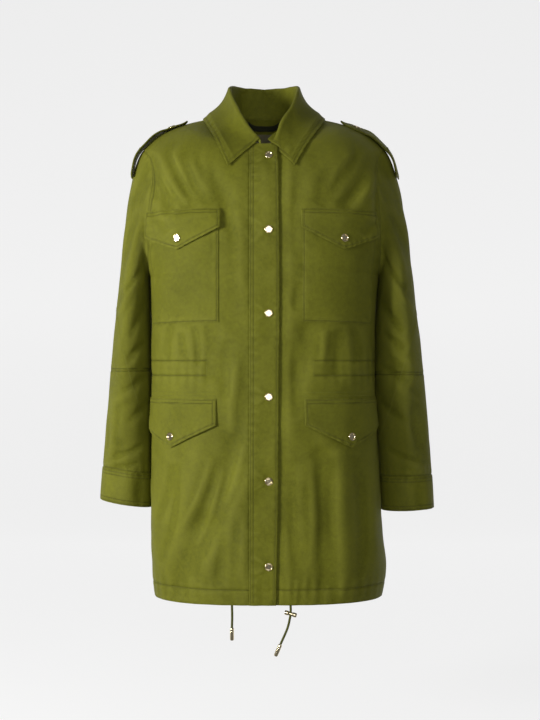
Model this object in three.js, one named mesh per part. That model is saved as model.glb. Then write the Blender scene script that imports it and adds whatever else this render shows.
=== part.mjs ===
// A hip-length cotton parka, filled out with no wearer, hanging as it is worn.
// Millimetres, +Z up, front towards -Y.
// The body is one superellipse a height, read from BODY_ROWS.
// Armholes, shoulders and neck bend those outlines.
// Heights are measured from the hem.
// The whole coat is let down at the end, so the origin is where it is held.
import * as THREE from "three";

const DEGREE = Math.PI / 180;
const QUARTER = Math.PI / 2;

// Cloth and the air between pieces.
const WALL = 1.6;
const BAND_WALL = 2.0;
const SEAM_GAP = 0.5;
const SHOULDER_GAP = 1.0;
const ARMHOLE_GAP = 0.9;
const NECK_GAP = 0.9;
const REST_GAP = 0.8;
const HELD_HEIGHT = 745;

// Body heights and the armhole.
const UNDERARM_HEIGHT = 535;
const TIP_HEIGHT = 752;
const ARMHOLE_REACH = 66;
const FRONT = -1;
const BACK = 1;
const WEARER_RIGHT = -1;
const WEARER_LEFT = 1;

// Half the body's outline at each height: half-width of each side,
// depth in front of and behind the side seams.
const BODY_ROWS = [
  { height: 0, right: 185, left: 200, front: 126, back: 120 },
  { height: 45, right: 189, left: 206, front: 130, back: 124 },
  { height: 110, right: 190, left: 200, front: 132, back: 124 },
  { height: 180, right: 190, left: 196, front: 133, back: 122 },
  { height: 250, right: 190, left: 192, front: 132, back: 119 },
  { height: 330, right: 190, left: 188, front: 130, back: 114 },
  { height: 420, right: 190, left: 187, front: 128, back: 112 },
  { height: 500, right: 191, left: 190, front: 129, back: 117 },
  { height: 535, right: 192, left: 193, front: 130, back: 120 },
];

// The centre lines above the underarm: how far they stand before and behind the shoulder line.
const CENTRE_ROWS = [
  { height: 535, front: 130, back: 120 },
  { height: 620, front: 129, back: 124 },
  { height: 690, front: 119, back: 119 },
  { height: 725, front: 103, back: 110 },
  { height: 750, front: 87, back: 101 },
  { height: 785, front: 70, back: 86 },
  { height: 816, front: 60, back: 69 },
];

// The armhole edge from the underarm (turn -90) to the shoulder point (turn 90).
const ARMHOLE_ROWS = [
  { turn: -90, out: 192 },
  { turn: -45, out: 195 },
  { turn: 0, out: 192 },
  { turn: 25, out: 188 },
  { turn: 50, out: 193 },
  { turn: 72, out: 201 },
  { turn: 90, out: 205 },
];

// The shoulder seam from the shoulder point to the side of the neck.
const SHOULDER_ROWS = [
  { share: 0, out: 205, height: 752 },
  { share: 0.22, out: 177, height: 777 },
  { share: 0.5, out: 135, height: 794 },
  { share: 0.76, out: 98, height: 803 },
  { share: 1, out: 66, height: 810 },
];

// How the outline changes from the underarm (level 1) over the shoulder point (2) to the neck (3).
const LEVEL_ROWS = [
  { level: 1, frontCentre: 535, backCentre: 535, wide: 193, square: 2.6, soft: 0 },
  { level: 1.5, frontCentre: 618, backCentre: 640, wide: 200, square: 2.5, soft: 0.4 },
  { level: 1.75, frontCentre: 656, backCentre: 690, wide: 194, square: 2.4, soft: 0.6 },
  { level: 2, frontCentre: 690, backCentre: 735, wide: 180, square: 2.3, soft: 0.7 },
  { level: 2.25, frontCentre: 710, backCentre: 761, wide: 158, square: 2.2, soft: 0.7 },
  { level: 2.5, frontCentre: 726, backCentre: 783, wide: 131, square: 2.1, soft: 0.55 },
  { level: 3, frontCentre: 750, backCentre: 816, wide: 66, square: 2.0, soft: 0.1 },
];

// How late along an outline the armhole and shoulder edge pull it off its own curve.
const EDGE_POWER = 4;

// The largest folds: a soft trough (depth above 0) or ridge (below 0)
// along a line on one panel, seen from its own side.
const FOLDS = [
  { part: FRONT, x0: -188, z0: 722, x1: -157, z1: 652, half: 13, depth: 4 },
  { part: FRONT, x0: -163, z0: 735, x1: -121, z1: 648, half: 13, depth: 5 },
  { part: FRONT, x0: -143, z0: 762, x1: -113, z1: 680, half: 12, depth: 3 },
  { part: FRONT, x0: 181, z0: 735, x1: 128, z1: 648, half: 15, depth: 5 },
  { part: FRONT, x0: -50, z0: 262, x1: -98, z1: 130, half: 20, depth: 6 },
  { part: FRONT, x0: -98, z0: 130, x1: -142, z1: 28, half: 20, depth: 6 },
  { part: FRONT, x0: -24, z0: 212, x1: -88, z1: 70, half: 20, depth: -4 },
  { part: FRONT, x0: -112, z0: 235, x1: -158, z1: 90, half: 22, depth: -3 },
  { part: FRONT, x0: 92, z0: 240, x1: 100, z1: 40, half: 17, depth: 4 },
  { part: FRONT, x0: 122, z0: 240, x1: 132, z1: 20, half: 16, depth: -3 },
  { part: FRONT, x0: -86, z0: 440, x1: -84, z1: 372, half: 14, depth: 3 },
  { part: FRONT, x0: 68, z0: 440, x1: 62, z1: 372, half: 14, depth: 3 },
  { part: FRONT, x0: 122, z0: 430, x1: 118, z1: 380, half: 14, depth: 3 },
  { part: BACK, x0: -60, z0: 640, x1: -84, z1: 470, half: 24, depth: 5 },
  { part: BACK, x0: 64, z0: 620, x1: 90, z1: 450, half: 24, depth: 5 },
  { part: BACK, x0: 6, z0: 330, x1: -10, z1: 20, half: 26, depth: 5 },
  { part: BACK, x0: 110, z0: 300, x1: 128, z1: 30, half: 22, depth: 4 },
  { part: BACK, x0: -116, z0: 320, x1: -126, z1: 40, half: 22, depth: 4 },
];

// Fronts and the band down the middle.
const BAND_LEFT = -23.6;
const BAND_RIGHT = 24;
const BAND_TOP_SHARE = 0.955;
const UNDERLAP_EDGE = 12;
const UNDERLAP_DROP = 2.8;
const UNDERLAP_RAMP = 18;
const UNDERLAP_NECK_DROP = 1.6;
const UNDERLAP_NECK_FROM = 640;

// Grid steps.
const FRONT_COLUMNS = 12;
const BACK_HALF_COLUMNS = 11;
const ARMHOLE_STEPS = 10;
const LEVELS_BELOW = [
  0, 0.026, 0.055, 0.11, 0.17, 0.235, 0.3, 0.365, 0.43, 0.495, 0.56, 0.625, 0.69, 0.755, 0.82, 0.88, 0.94,
];
const LEVELS_ABOVE = [2.22, 2.45, 2.7, 2.87, 3];

// Sleeves below the shoulder curve: heights of the section's middle,
// its reach, and how much its outside is raised.
const SLEEVE_ROWS = {
  right: [
    { height: 512, inner: 193, outer: 247, front: -60, back: 80, raise: 3 },
    { height: 411, inner: 191.6, outer: 258, front: -50, back: 84, raise: 4 },
    { height: 326, inner: 191.4, outer: 266, front: -40, back: 78, raise: 5 },
    { height: 241, inner: 191.4, outer: 274, front: -31, back: 71, raise: 5 },
    { height: 206, inner: 191.6, outer: 276, front: -28, back: 68, raise: 6 },
    { height: 150, inner: 192.8, outer: 280, front: -25, back: 66, raise: 7 },
  ],
  left: [
    { height: 512, inner: 193.4, outer: 255, front: -60, back: 80, raise: 2 },
    { height: 411, inner: 189.6, outer: 268, front: -50, back: 84, raise: 3 },
    { height: 326, inner: 190.4, outer: 277, front: -40, back: 78, raise: 3 },
    { height: 241, inner: 194.6, outer: 284, front: -31, back: 71, raise: 2 },
    { height: 197, inner: 197.4, outer: 287, front: -28, back: 68, raise: 1 },
    { height: 140, inner: 201.4, outer: 290, front: -25, back: 66, raise: 2 },
  ],
};
const SLEEVE_START = { out: 0.65, back: 0.76, fall: 0.72, lift: 0.12 };
const HEAD_STEPS = [0, 0.1, 0.22, 0.36, 0.52, 0.68, 0.84, 1];
const SLEEVE_STEPS = 11;
const HEAD_PULL = { top: 120, side: 60, under: 18 };
const FOOT_PULL = { top: 300, side: 150, under: 26 };
const CUFF_STEPS = 2;
const CUFF_WALL = 2.2;
const CUFF_OUT = 1.2;
// Troughs across the sleeves, on the way from one height to the other
// at a turn round the sleeve (0 underarm, 90 front).
const SLEEVE_FOLDS = [
  { side: WEARER_RIGHT, turn: 110, from: 250, to: 205, half: 20, depth: 4 },
  { side: WEARER_RIGHT, turn: 75, from: 470, to: 380, half: 24, depth: 3 },
  { side: WEARER_LEFT, turn: 80, from: 455, to: 385, half: 24, depth: 5 },
  { side: WEARER_LEFT, turn: 120, from: 330, to: 250, half: 22, depth: 4 },
  { side: WEARER_RIGHT, turn: 250, from: 420, to: 330, half: 26, depth: 4 },
  { side: WEARER_LEFT, turn: 255, from: 430, to: 335, half: 26, depth: 4 },
];

// Collar: roll line and outer edge from the middle of the back (turn 0) round to the front end.
const COLLAR_ROWS = [
  { turn: 0, rollX: 0, rollY: 76, rollZ: 868, edgeX: 0, edgeY: 109, edgeZ: 796 },
  { turn: 40, rollX: 38, rollY: 62, rollZ: 868, edgeX: 62, edgeY: 86, edgeZ: 798 },
  { turn: 75, rollX: 59, rollY: 26, rollZ: 864, edgeX: 94, edgeY: 38, edgeZ: 803 },
  { turn: 100, rollX: 60, rollY: -8, rollZ: 849, edgeX: 103, edgeY: -4, edgeZ: 801 },
  { turn: 125, rollX: 48, rollY: -48, rollZ: 815, edgeX: 90, edgeY: -52, edgeZ: 775 },
  { turn: 150, rollX: 27, rollY: -76, rollZ: 780, edgeX: 72, edgeY: -92, edgeZ: 742 },
  { turn: 172, rollX: 5, rollY: -90, rollZ: 755, edgeX: 54, edgeY: -119, edgeZ: 707 },
];
const COLLAR_CENTRE = -4;
const COLLAR_STEPS = 24;
const FALL_STEPS = 5;
const FALL_WALL = 2.2;
const FALL_BULGE = 7;
const FALL_CLEAR = 2.2;
const FALL_FRONT_LEFT = 26.5;
const STAND_STEPS = 3;
const STAND_INSET = 3.4;
const STAND_DROP = 3.2;
const STAND_WALL = 1.6;
const LAST_TURN = 172;

// Pockets, by distance round the coat from its middle line.
const POCKETS = {
  width: 140,
  hipWidth: 160,
  inner: { right: 71, left: 60 },
  hipInner: { right: 77, left: 65 },
  patchTop: 622,
  patchBottom: 455,
  patchDrop: 3,
  chestTop: 638,
  chestInnerCorner: 606,
  chestOuterCorner: 595,
  chestPoint: 572,
  hipTop: 332,
  hipInnerCorner: 289,
  hipOuterCorner: 286,
  hipPoint: 251,
};
const PATCH_WALL = 1.4;
const FLAP_WALL = 1.8;
const FLAP_LIFT = 3.4;
const FLAP_TIP_LIFT = 2.2;
const PATCH_COLUMNS = 9;
const PATCH_ROWS = 9;
const FLAP_COLUMNS = 8;
const FLAP_ROWS = 4;

// Snaps.
const SNAP = { radius: 6.6, rim: 5.2, height: 2.2, dish: 1.5, sides: 12 };
const SNAP_GAP = 0.5;
const FRONT_SNAP_X = 8;
const FRONT_SNAP_HEIGHTS = [63, 200, 335, 469, 603, 726];
const FLAP_SNAP_UP = 19;

// Shoulder straps: from the pointed end near the collar, over the shoulder, and folded under on the sleeve.
const STRAP_ROWS = [
  { share: 0, out: 131, height: 803.5, half: 3, air: 3.5 },
  { share: 0.1, out: 141, height: 799.5, half: 14, air: 0.3 },
  { share: 0.2, out: 152, height: 795, half: 21, air: 0 },
  { share: 0.36, out: 172, height: 787, half: 21, air: 0 },
  { share: 0.52, out: 193, height: 773, half: 21, air: 1.6 },
  { share: 0.66, out: 209, height: 755, half: 21, air: 5 },
  { share: 0.8, out: 222, height: 734, half: 21, air: 6 },
  { share: 0.92, out: 231, height: 713, half: 21, air: 2.6 },
  { share: 1, out: 233.5, height: 705, half: 21, air: 0.5 },
];
const STRAP_TILT = { right: 0.08, left: 0.4 };
const STRAP_MIDDLE = -4;
const STRAP_WALL = 2.2;
const STRAP_STEPS = 12;
const STRAP_SNAP_SHARE = 0.21;
const STRAP_CLEAR = 0.5;
const STRAP_ON_SLEEVE = 204;

// Back neck.
const LOOP = { half: 29, top: 812, sag: 9, width: 5, wall: 1.6, in: 3.2, steps: 8 };
const LABEL = { half: 16, top: 791, height: 22, wall: 0.9, in: 2.4, steps: 4 };

// Hem drawcord.
const CORD_RADIUS = 1.9;
const CORD_SIDES = 8;
const CORD_STEP = 9;
const CORD_GAP = 0.4;
const CORD_Y = -125.6;
const RIGHT_CORD = { x: -51, end: -35 };
const LEFT_CORD = { x0: 43, x1: 27, kneeX: 38, kneeZ: -26, end: -61.5 };
const CORD_END = { radius: 3.2, neck: 2.5, length: 20, sides: 12 };
const STOPPER = { radius: 3.6, waist: 3.0, length: 20, sides: 12, x: 43, z: -13, tilt: 16 };

const CLOTH = { color: 0x64692a, roughness: 0.85, metalness: 0 };
const METAL = { color: 0xd9c79a, roughness: 0.3, metalness: 1 };
const CORD = { color: 0x3a4024, roughness: 0.9, metalness: 0 };
const PLAIN = { color: 0x2c2f1c, roughness: 0.9, metalness: 0 };

const coat = new THREE.Group();

/** A table's column at a place along its key column, on a smooth curve through its rows. */
function read(rows, key, column, at) {
  const last = rows.length - 1;
  const place = Math.min(Math.max(at, rows[0][key]), rows[last][key]);
  let i = 0;
  while (i < last - 1 && place > rows[i + 1][key]) i += 1;
  const slope = (a, b) => (rows[b][column] - rows[a][column]) / (rows[b][key] - rows[a][key]);
  const span = rows[i + 1][key] - rows[i][key];
  const t = (place - rows[i][key]) / span;
  const begin = slope(Math.max(i - 1, 0), i + 1) * span;
  const end = slope(i, Math.min(i + 2, last)) * span;
  const t2 = t * t;
  const t3 = t2 * t;
  return (
    (2 * t3 - 3 * t2 + 1) * rows[i][column] +
    (t3 - 2 * t2 + t) * begin +
    (3 * t2 - 2 * t3) * rows[i + 1][column] +
    (t3 - t2) * end
  );
}

/** 0 below low, 1 above high, and a smooth rise between. */
function rise(low, high, at) {
  const t = Math.min(Math.max((at - low) / (high - low), 0), 1);
  return t * t * (3 - 2 * t);
}

/** The body's outline at a level: 0 hem, 1 underarm, 2 shoulder point, 3 neck. */
function outline(side, part, level) {
  const width = side < 0 ? "right" : "left";
  const depth = part === FRONT ? "front" : "back";
  const seam = part * 0.5 * (SEAM_GAP + (SHOULDER_GAP - SEAM_GAP) * rise(1.6, 1.95, level));
  if (level <= 1) {
    const height = level * UNDERARM_HEIGHT;
    return {
      out: read(BODY_ROWS, "height", width, height),
      edgeY: seam,
      edgeZ: height,
      wide: read(BODY_ROWS, "height", width, height),
      deep: read(BODY_ROWS, "height", depth, height),
      centreZ: height,
      square: LEVEL_ROWS[0].square,
      soft: 0,
    };
  }
  const centreZ = read(LEVEL_ROWS, "level", part === FRONT ? "frontCentre" : "backCentre", level);
  const bend = {
    deep: read(CENTRE_ROWS, "height", depth, centreZ),
    centreZ,
    wide: read(LEVEL_ROWS, "level", "wide", level),
    square: read(LEVEL_ROWS, "level", "square", level),
    soft: read(LEVEL_ROWS, "level", "soft", level),
  };
  if (level <= 2) {
    const turn = -90 + 180 * (level - 1);
    const middle = (TIP_HEIGHT + UNDERARM_HEIGHT) / 2;
    const half = (TIP_HEIGHT - UNDERARM_HEIGHT) / 2;
    return {
      ...bend,
      out: read(ARMHOLE_ROWS, "turn", "out", turn),
      edgeY: seam + part * ARMHOLE_REACH * Math.cos(turn * DEGREE),
      edgeZ: middle + half * Math.sin(turn * DEGREE),
    };
  }
  return {
    ...bend,
    out: read(SHOULDER_ROWS, "share", "out", level - 2),
    edgeY: seam,
    edgeZ: read(SHOULDER_ROWS, "share", "height", level - 2),
  };
}

/** How far the panel's edge is turned from the middle line at a level, in radians. */
function edgeTurn(side, part, level) {
  const row = outline(side, part, level);
  return Math.atan2(row.out, Math.abs(row.edgeY));
}

/** The depth of the folds at a place on a panel. */
function foldDepth(part, x, z) {
  let depth = 0;
  for (const fold of FOLDS) {
    if (fold.part !== part) continue;
    const alongX = fold.x1 - fold.x0;
    const alongZ = fold.z1 - fold.z0;
    const share = ((x - fold.x0) * alongX + (z - fold.z0) * alongZ) / (alongX ** 2 + alongZ ** 2);
    const t = Math.min(Math.max(share, 0), 1);
    const away = Math.hypot(x - fold.x0 - t * alongX, z - fold.z0 - t * alongZ) / fold.half;
    depth += fold.depth * Math.exp(-away * away);
  }
  return depth;
}

/** A point on the body's outside, moved out by lift. */
function bodyAt(side, part, turn, level, lift = 0) {
  const row = outline(side, part, level);
  const reachAt = (angle) => {
    const across = Math.abs(Math.sin(angle)) / row.wide;
    const along = Math.abs(Math.cos(angle)) / row.deep;
    return (across ** row.square + along ** row.square) ** (-1 / row.square);
  };
  const last = Math.atan2(row.out, Math.abs(row.edgeY));
  const t = Math.abs(turn) / last;
  const reach = reachAt(turn) + (Math.hypot(row.out, row.edgeY) - reachAt(last)) * t ** EDGE_POWER;
  const x = side * reach * Math.sin(turn);
  const y = part * reach * Math.cos(turn);
  const steep = 1 - Math.cos(QUARTER * t);
  const soft = (1 - Math.cos(Math.PI * Math.min(t, 1))) / 2;
  const z = row.centreZ + (row.edgeZ - row.centreZ) * (steep + (soft - steep) * row.soft);
  const away = lift - foldDepth(part, x, z);
  const outX = x / row.wide ** 2;
  const outY = y / row.deep ** 2;
  const length = Math.hypot(outX, outY);
  return new THREE.Vector3(x + (away * outX) / length, y + (away * outY) / length, z);
}

/** The turn at which a level's outline passes a place across the front. */
function turnAt(side, part, level, x) {
  let low = -QUARTER;
  let high = QUARTER;
  for (let i = 0; i < 30; i += 1) {
    const middle = (low + high) / 2;
    if (bodyAt(side, part, middle, level).x * side < x * side) low = middle;
    else high = middle;
  }
  return (low + high) / 2;
}

/** The turn and level of the place a distance round the coat from its middle line, at a height. */
function roundTo(side, part, round, height) {
  let level = height / UNDERARM_HEIGHT;
  let turn = 0;
  const samples = 60;
  for (let pass = 0; pass < 8; pass += 1) {
    let gone = 0;
    let before = bodyAt(side, part, 0, level);
    turn = 0;
    for (let i = 1; i <= samples; i += 1) {
      const next = (i / samples) * QUARTER;
      const here = bodyAt(side, part, next, level);
      const step = Math.hypot(here.x - before.x, here.y - before.y);
      if (gone + step >= round) {
        turn = ((i - 1 + (round - gone) / step) / samples) * QUARTER;
        break;
      }
      gone += step;
      before = here;
      turn = next;
    }
    const nudge = 0.01;
    const low = bodyAt(side, part, turn, level).z;
    const rate = (bodyAt(side, part, turn, level + nudge).z - low) / nudge;
    level += (height - low) / rate;
  }
  return { turn, level };
}

/** The outward direction of the body's surface at a turn and level. */
function outwards(side, part, turn, level) {
  const nudge = 0.01;
  const across = bodyAt(side, part, turn + nudge, level).sub(bodyAt(side, part, turn - nudge, level));
  const up = bodyAt(side, part, turn, level + nudge).sub(bodyAt(side, part, turn, level - nudge));
  return across.cross(up).multiplyScalar(-part * side).normalize();
}

/** A place on the coat by its distance round and height, moved out by lift, and the way out there. */
function onFront(side, round, height, lift) {
  const place = roundTo(side, FRONT, round, height);
  const out = outwards(side, FRONT, place.turn, place.level);
  return { point: bodyAt(side, FRONT, place.turn, place.level).addScaledVector(out, lift), out };
}

/** The way out at each point of a grid, away from what core gives for the point. */
function gridNormals(grid, core, loop) {
  const rows = grid.length;
  const columns = grid[0].length;
  let vote = 0;
  const normals = grid.map((row, j) =>
    row.map((point, i) => {
      const left = loop ? (i + columns - 1) % columns : Math.max(i - 1, 0);
      const right = loop ? (i + 1) % columns : Math.min(i + 1, columns - 1);
      const across = row[right].clone().sub(row[left]);
      const up = grid[Math.min(j + 1, rows - 1)][i].clone().sub(grid[Math.max(j - 1, 0)][i]);
      const normal = across.cross(up).normalize();
      vote += normal.dot(point.clone().sub(core(point)));
      return normal;
    }),
  );
  if (vote < 0) normals.flat().forEach((normal) => normal.negate());
  return normals;
}

/** A closed wall between a grid of points and the same grid moved in by the wall's thickness. */
function wallOf(grid, wall, core, loop = false) {
  const rows = grid.length;
  const columns = grid[0].length;
  const normals = gridNormals(grid, core, loop);
  const places = [];
  grid.forEach((row) => row.forEach((point) => places.push(point.x, point.y, point.z)));
  grid.forEach((row, j) =>
    row.forEach((point, i) => {
      const inner = point.clone().addScaledVector(normals[j][i], -wall);
      places.push(inner.x, inner.y, inner.z);
    }),
  );
  const inside = rows * columns;
  const at = (j, i) => j * columns + (i % columns);
  const faces = [];
  const quad = (a, b, c, d) => faces.push(a, b, c, a, c, d);
  const across = loop ? columns : columns - 1;
  for (let j = 0; j < rows - 1; j += 1)
    for (let i = 0; i < across; i += 1) {
      quad(at(j, i), at(j, i + 1), at(j + 1, i + 1), at(j + 1, i));
      quad(inside + at(j, i), inside + at(j + 1, i), inside + at(j + 1, i + 1), inside + at(j, i + 1));
    }
  for (let i = 0; i < across; i += 1) {
    quad(at(0, i), inside + at(0, i), inside + at(0, i + 1), at(0, i + 1));
    quad(at(rows - 1, i), at(rows - 1, i + 1), inside + at(rows - 1, i + 1), inside + at(rows - 1, i));
  }
  if (!loop)
    for (let j = 0; j < rows - 1; j += 1) {
      const end = columns - 1;
      quad(at(j, 0), at(j + 1, 0), inside + at(j + 1, 0), inside + at(j, 0));
      quad(at(j, end), inside + at(j, end), inside + at(j + 1, end), at(j + 1, end));
    }
  const geometry = new THREE.BufferGeometry();
  geometry.setAttribute("position", new THREE.Float32BufferAttribute(places, 3));
  geometry.setIndex(faces);
  return facingOut(geometry);
}

/** The same geometry with its faces turned round if they face in. */
function facingOut(geometry) {
  const place = geometry.getAttribute("position");
  const index = geometry.index.array;
  const corner = (k) => new THREE.Vector3().fromBufferAttribute(place, index[k]);
  let volume = 0;
  for (let k = 0; k < index.length; k += 3) volume += corner(k).dot(corner(k + 1).cross(corner(k + 2)));
  if (volume < 0)
    for (let k = 0; k < index.length; k += 3) [index[k + 1], index[k + 2]] = [index[k + 2], index[k + 1]];
  return geometry;
}

/** Adds a named piece with its own material. */
function add(name, geometry, look) {
  const piece = new THREE.Mesh(geometry.translate(0, 0, -HELD_HEIGHT), new THREE.MeshStandardMaterial(look));
  piece.name = name;
  coat.add(piece);
}

/** Rows and columns of points from a function of two shares. */
function gridOf(rows, columns, place) {
  return Array.from({ length: rows + 1 }, (_, j) =>
    Array.from({ length: columns + 1 }, (_, i) => place(i / columns, j / rows)),
  );
}

const bodyCore = (point) => new THREE.Vector3(0, 0, point.z);
const sideName = (side) => (side < 0 ? "right" : "left");

/** All levels of a panel, from the hem to the neck. */
function levels() {
  const armhole = Array.from({ length: ARMHOLE_STEPS + 1 }, (_, i) => 1 + i / ARMHOLE_STEPS);
  return [...LEVELS_BELOW, ...armhole, ...LEVELS_ABOVE];
}

/** How far the underlap of the wearer's left front lies below the band. */
function underlap(x, z) {
  const drop = UNDERLAP_DROP + UNDERLAP_NECK_DROP * rise(UNDERLAP_NECK_FROM, TIP_HEIGHT, z);
  return drop * (1 - rise(BAND_RIGHT + 2, BAND_RIGHT + 2 + UNDERLAP_RAMP, x));
}

/** One front panel: its free edge at the band, then round to the side seam, the armhole and the shoulder. */
function frontPanel(side) {
  const edge = side < 0 ? BAND_LEFT - SEAM_GAP : UNDERLAP_EDGE;
  const grid = levels().map((level) => {
    const first = turnAt(side, FRONT, level, edge);
    const last = edgeTurn(side, FRONT, level);
    return Array.from({ length: FRONT_COLUMNS + 1 }, (_, i) => {
      const turn = first + ((last - first) * i) / FRONT_COLUMNS;
      const point = bodyAt(side, FRONT, turn, level);
      if (side > 0) point.y += underlap(point.x, point.z);
      return point;
    });
  });
  add("front_" + sideName(side), wallOf(grid, WALL, bodyCore), CLOTH);
}

/** The back in one piece, from one side seam to the other. */
function backPanel() {
  const grid = levels().map((level) => {
    const half = (side) =>
      Array.from({ length: BACK_HALF_COLUMNS + 1 }, (_, i) =>
        bodyAt(side, BACK, (edgeTurn(side, BACK, level) * i) / BACK_HALF_COLUMNS, level),
      );
    return [...half(WEARER_RIGHT).reverse(), ...half(WEARER_LEFT).slice(1)];
  });
  add("back", wallOf(grid, WALL, bodyCore), CLOTH);
}

/** The band that closes the fronts, a strip level with the wearer's right front and over the left one. */
function band() {
  const columns = 3;
  const above = [1, 1.17, 1.34, 1.5, 1.67, 1.84, 2, 2.25, 2.5, 2.75, 2 + BAND_TOP_SHARE];
  const grid = [...LEVELS_BELOW, ...above].map((level) =>
    Array.from({ length: columns + 1 }, (_, i) => {
      const x = BAND_LEFT + ((BAND_RIGHT - BAND_LEFT) * i) / columns;
      return bodyAt(WEARER_LEFT, FRONT, turnAt(WEARER_LEFT, FRONT, level, x), level);
    }),
  );
  add("front_band", wallOf(grid, BAND_WALL, bodyCore), CLOTH);
}

/** The armhole edge's points in order round it, each with the way on into the sleeve. */
function armholeRing(side) {
  const centre = new THREE.Vector3(side * ARMHOLE_ROWS[2].out, 0, (UNDERARM_HEIGHT + TIP_HEIGHT) / 2);
  const count = 2 * ARMHOLE_STEPS;
  const edgeAt = (k) => {
    const part = k <= ARMHOLE_STEPS ? FRONT : BACK;
    const level = 1 + (part === FRONT ? k : count - k) / ARMHOLE_STEPS;
    const point = bodyAt(side, part, edgeTurn(side, part, level), level);
    if (k % ARMHOLE_STEPS === 0) point.y = 0;
    return { part, level, point };
  };
  const edges = Array.from({ length: count }, (_, k) => edgeAt(k));
  return edges.map(({ part, level, point }, k) => {
    const turn = (-90 + 180 * (level - 1)) * DEGREE;
    const slide = 0.03;
    const twist = 2 * DEGREE;
    const near = level + slide * Math.sin(turn);
    const inner = bodyAt(side, part, edgeTurn(side, part, near) - twist * Math.cos(turn), near);
    if (k % ARMHOLE_STEPS === 0) inner.y = 0;
    const along = edges[(k + 1) % count].point.clone().sub(edges[(k + count - 1) % count].point).normalize();
    const on = point.clone().sub(inner);
    on.addScaledVector(along, -on.dot(along)).normalize();
    const out = along.clone().cross(on).normalize();
    if (out.dot(new THREE.Vector3(side, 0, 0.5)) < 0) out.negate();
    const under = rise(20, 75, -turn / DEGREE);
    const start = point.clone().addScaledVector(on, ARMHOLE_GAP).addScaledVector(out, SEAM_GAP * under);
    const back = -part * SLEEVE_START.back * Math.cos(turn);
    const fall = -SLEEVE_START.fall * Math.max(Math.sin(turn), 0);
    const first = new THREE.Vector3(side * SLEEVE_START.out, back, fall);
    first.lerp(new THREE.Vector3(side, 0, SLEEVE_START.lift), under).normalize();
    return { point: start, first, turn, centre };
  });
}

/** A point of the sleeve's section at a height and a turn: 0 towards the body, 90 in front, 180 outside. */
function sleeveAt(side, height, turn, out = 0) {
  const rows = [...SLEEVE_ROWS[sideName(side)]].reverse();
  const get = (column) => read(rows, "height", column, height);
  const middleX = (get("inner") + get("outer")) / 2;
  const halfX = (get("outer") - get("inner")) / 2 + out;
  const middleY = (get("front") + get("back")) / 2;
  const halfY = (get("back") - get("front")) / 2 + out;
  const cos = Math.cos(turn);
  let depth = 0;
  for (const fold of SLEEVE_FOLDS) {
    if (fold.side !== side) continue;
    const middle = (fold.from + fold.to) / 2;
    const wide = Math.abs(turn / DEGREE - fold.turn);
    const long = Math.max(Math.abs(height - middle) - Math.abs(fold.from - fold.to) / 2, 0);
    depth += fold.depth * Math.exp(-((wide / fold.half) ** 2) - (long / fold.half) ** 2);
  }
  return new THREE.Vector3(
    side * (middleX - (halfX - depth) * cos),
    middleY - (halfY - depth) * Math.sin(turn),
    height - get("raise") * cos,
  );
}

/** One sleeve: from the armhole on a curve to the upper arm, then down through the sections to the cuff. */
function sleeve(side) {
  const rows = SLEEVE_ROWS[sideName(side)];
  const upper = rows[0].height;
  const lower = rows[4].height + SEAM_GAP;
  const ring = armholeRing(side);
  const count = ring.length;
  const turnOf = (k) => (k / count) * 2 * Math.PI;
  const down = new THREE.Vector3(side * 0.09, 0, -1).normalize();
  const grid = HEAD_STEPS.map((t) =>
    ring.map((edge, k) => {
      const top = Math.max(Math.sin(edge.turn), 0);
      const under = Math.max(-Math.sin(edge.turn), 0);
      const pull = (table) =>
        table.side + (table.top - table.side) * top + (table.under - table.side) * under;
      const foot = sleeveAt(side, upper, turnOf(k));
      const t2 = t * t;
      const t3 = t2 * t;
      return new THREE.Vector3()
        .addScaledVector(edge.point, 2 * t3 - 3 * t2 + 1)
        .addScaledVector(edge.first, (t3 - 2 * t2 + t) * pull(HEAD_PULL))
        .addScaledVector(foot, 3 * t2 - 2 * t3)
        .addScaledVector(down, (t3 - t2) * pull(FOOT_PULL));
    }),
  );
  for (let j = 1; j <= SLEEVE_STEPS; j += 1) {
    const height = upper + ((lower - upper) * j) / SLEEVE_STEPS;
    grid.push(ring.map((_, k) => sleeveAt(side, height, turnOf(k))));
  }
  const core = (point) => {
    const middle = (column) => read([...rows].reverse(), "height", column, Math.min(point.z, upper));
    return new THREE.Vector3((side * (middle("inner") + middle("outer"))) / 2, 10, point.z);
  };
  const outs = gridNormals(grid, core, true);
  grid.slice(0, HEAD_STEPS.length).forEach((row, j) =>
    row.forEach((point, k) => sleeveSamples.push({ point: point.clone(), out: outs[j][k] })),
  );
  add("sleeve_" + sideName(side), wallOf(grid, WALL, core, true), CLOTH);
  const cuffTop = rows[4].height;
  const cuffFoot = rows[5].height;
  const cuffGrid = Array.from({ length: CUFF_STEPS + 1 }, (_, j) => {
    const height = cuffTop + ((cuffFoot - cuffTop) * j) / CUFF_STEPS;
    return ring.map((_, k) => sleeveAt(side, height, turnOf(k), CUFF_OUT));
  });
  add("cuff_" + sideName(side), wallOf(cuffGrid, CUFF_WALL, core, true), CLOTH);
}

const bodySamples = [];
const sleeveSamples = [];

/** How far a point stands off the nearest of some places on the coat, and the way out there. */
function standing(point, samples) {
  let best = samples[0];
  let near = Infinity;
  for (const sample of samples) {
    const away = sample.point.distanceToSquared(point);
    if (away < near) {
      near = away;
      best = sample;
    }
  }
  return { stands: point.clone().sub(best.point).dot(best.out), out: best.out };
}

/** Moves a point out, so that it stands clear of the nearest of some places on the coat. */
function standOff(point, clear, samples) {
  const { stands, out } = standing(point, samples);
  return stands < clear ? point.addScaledVector(out, clear - stands) : point;
}

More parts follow.
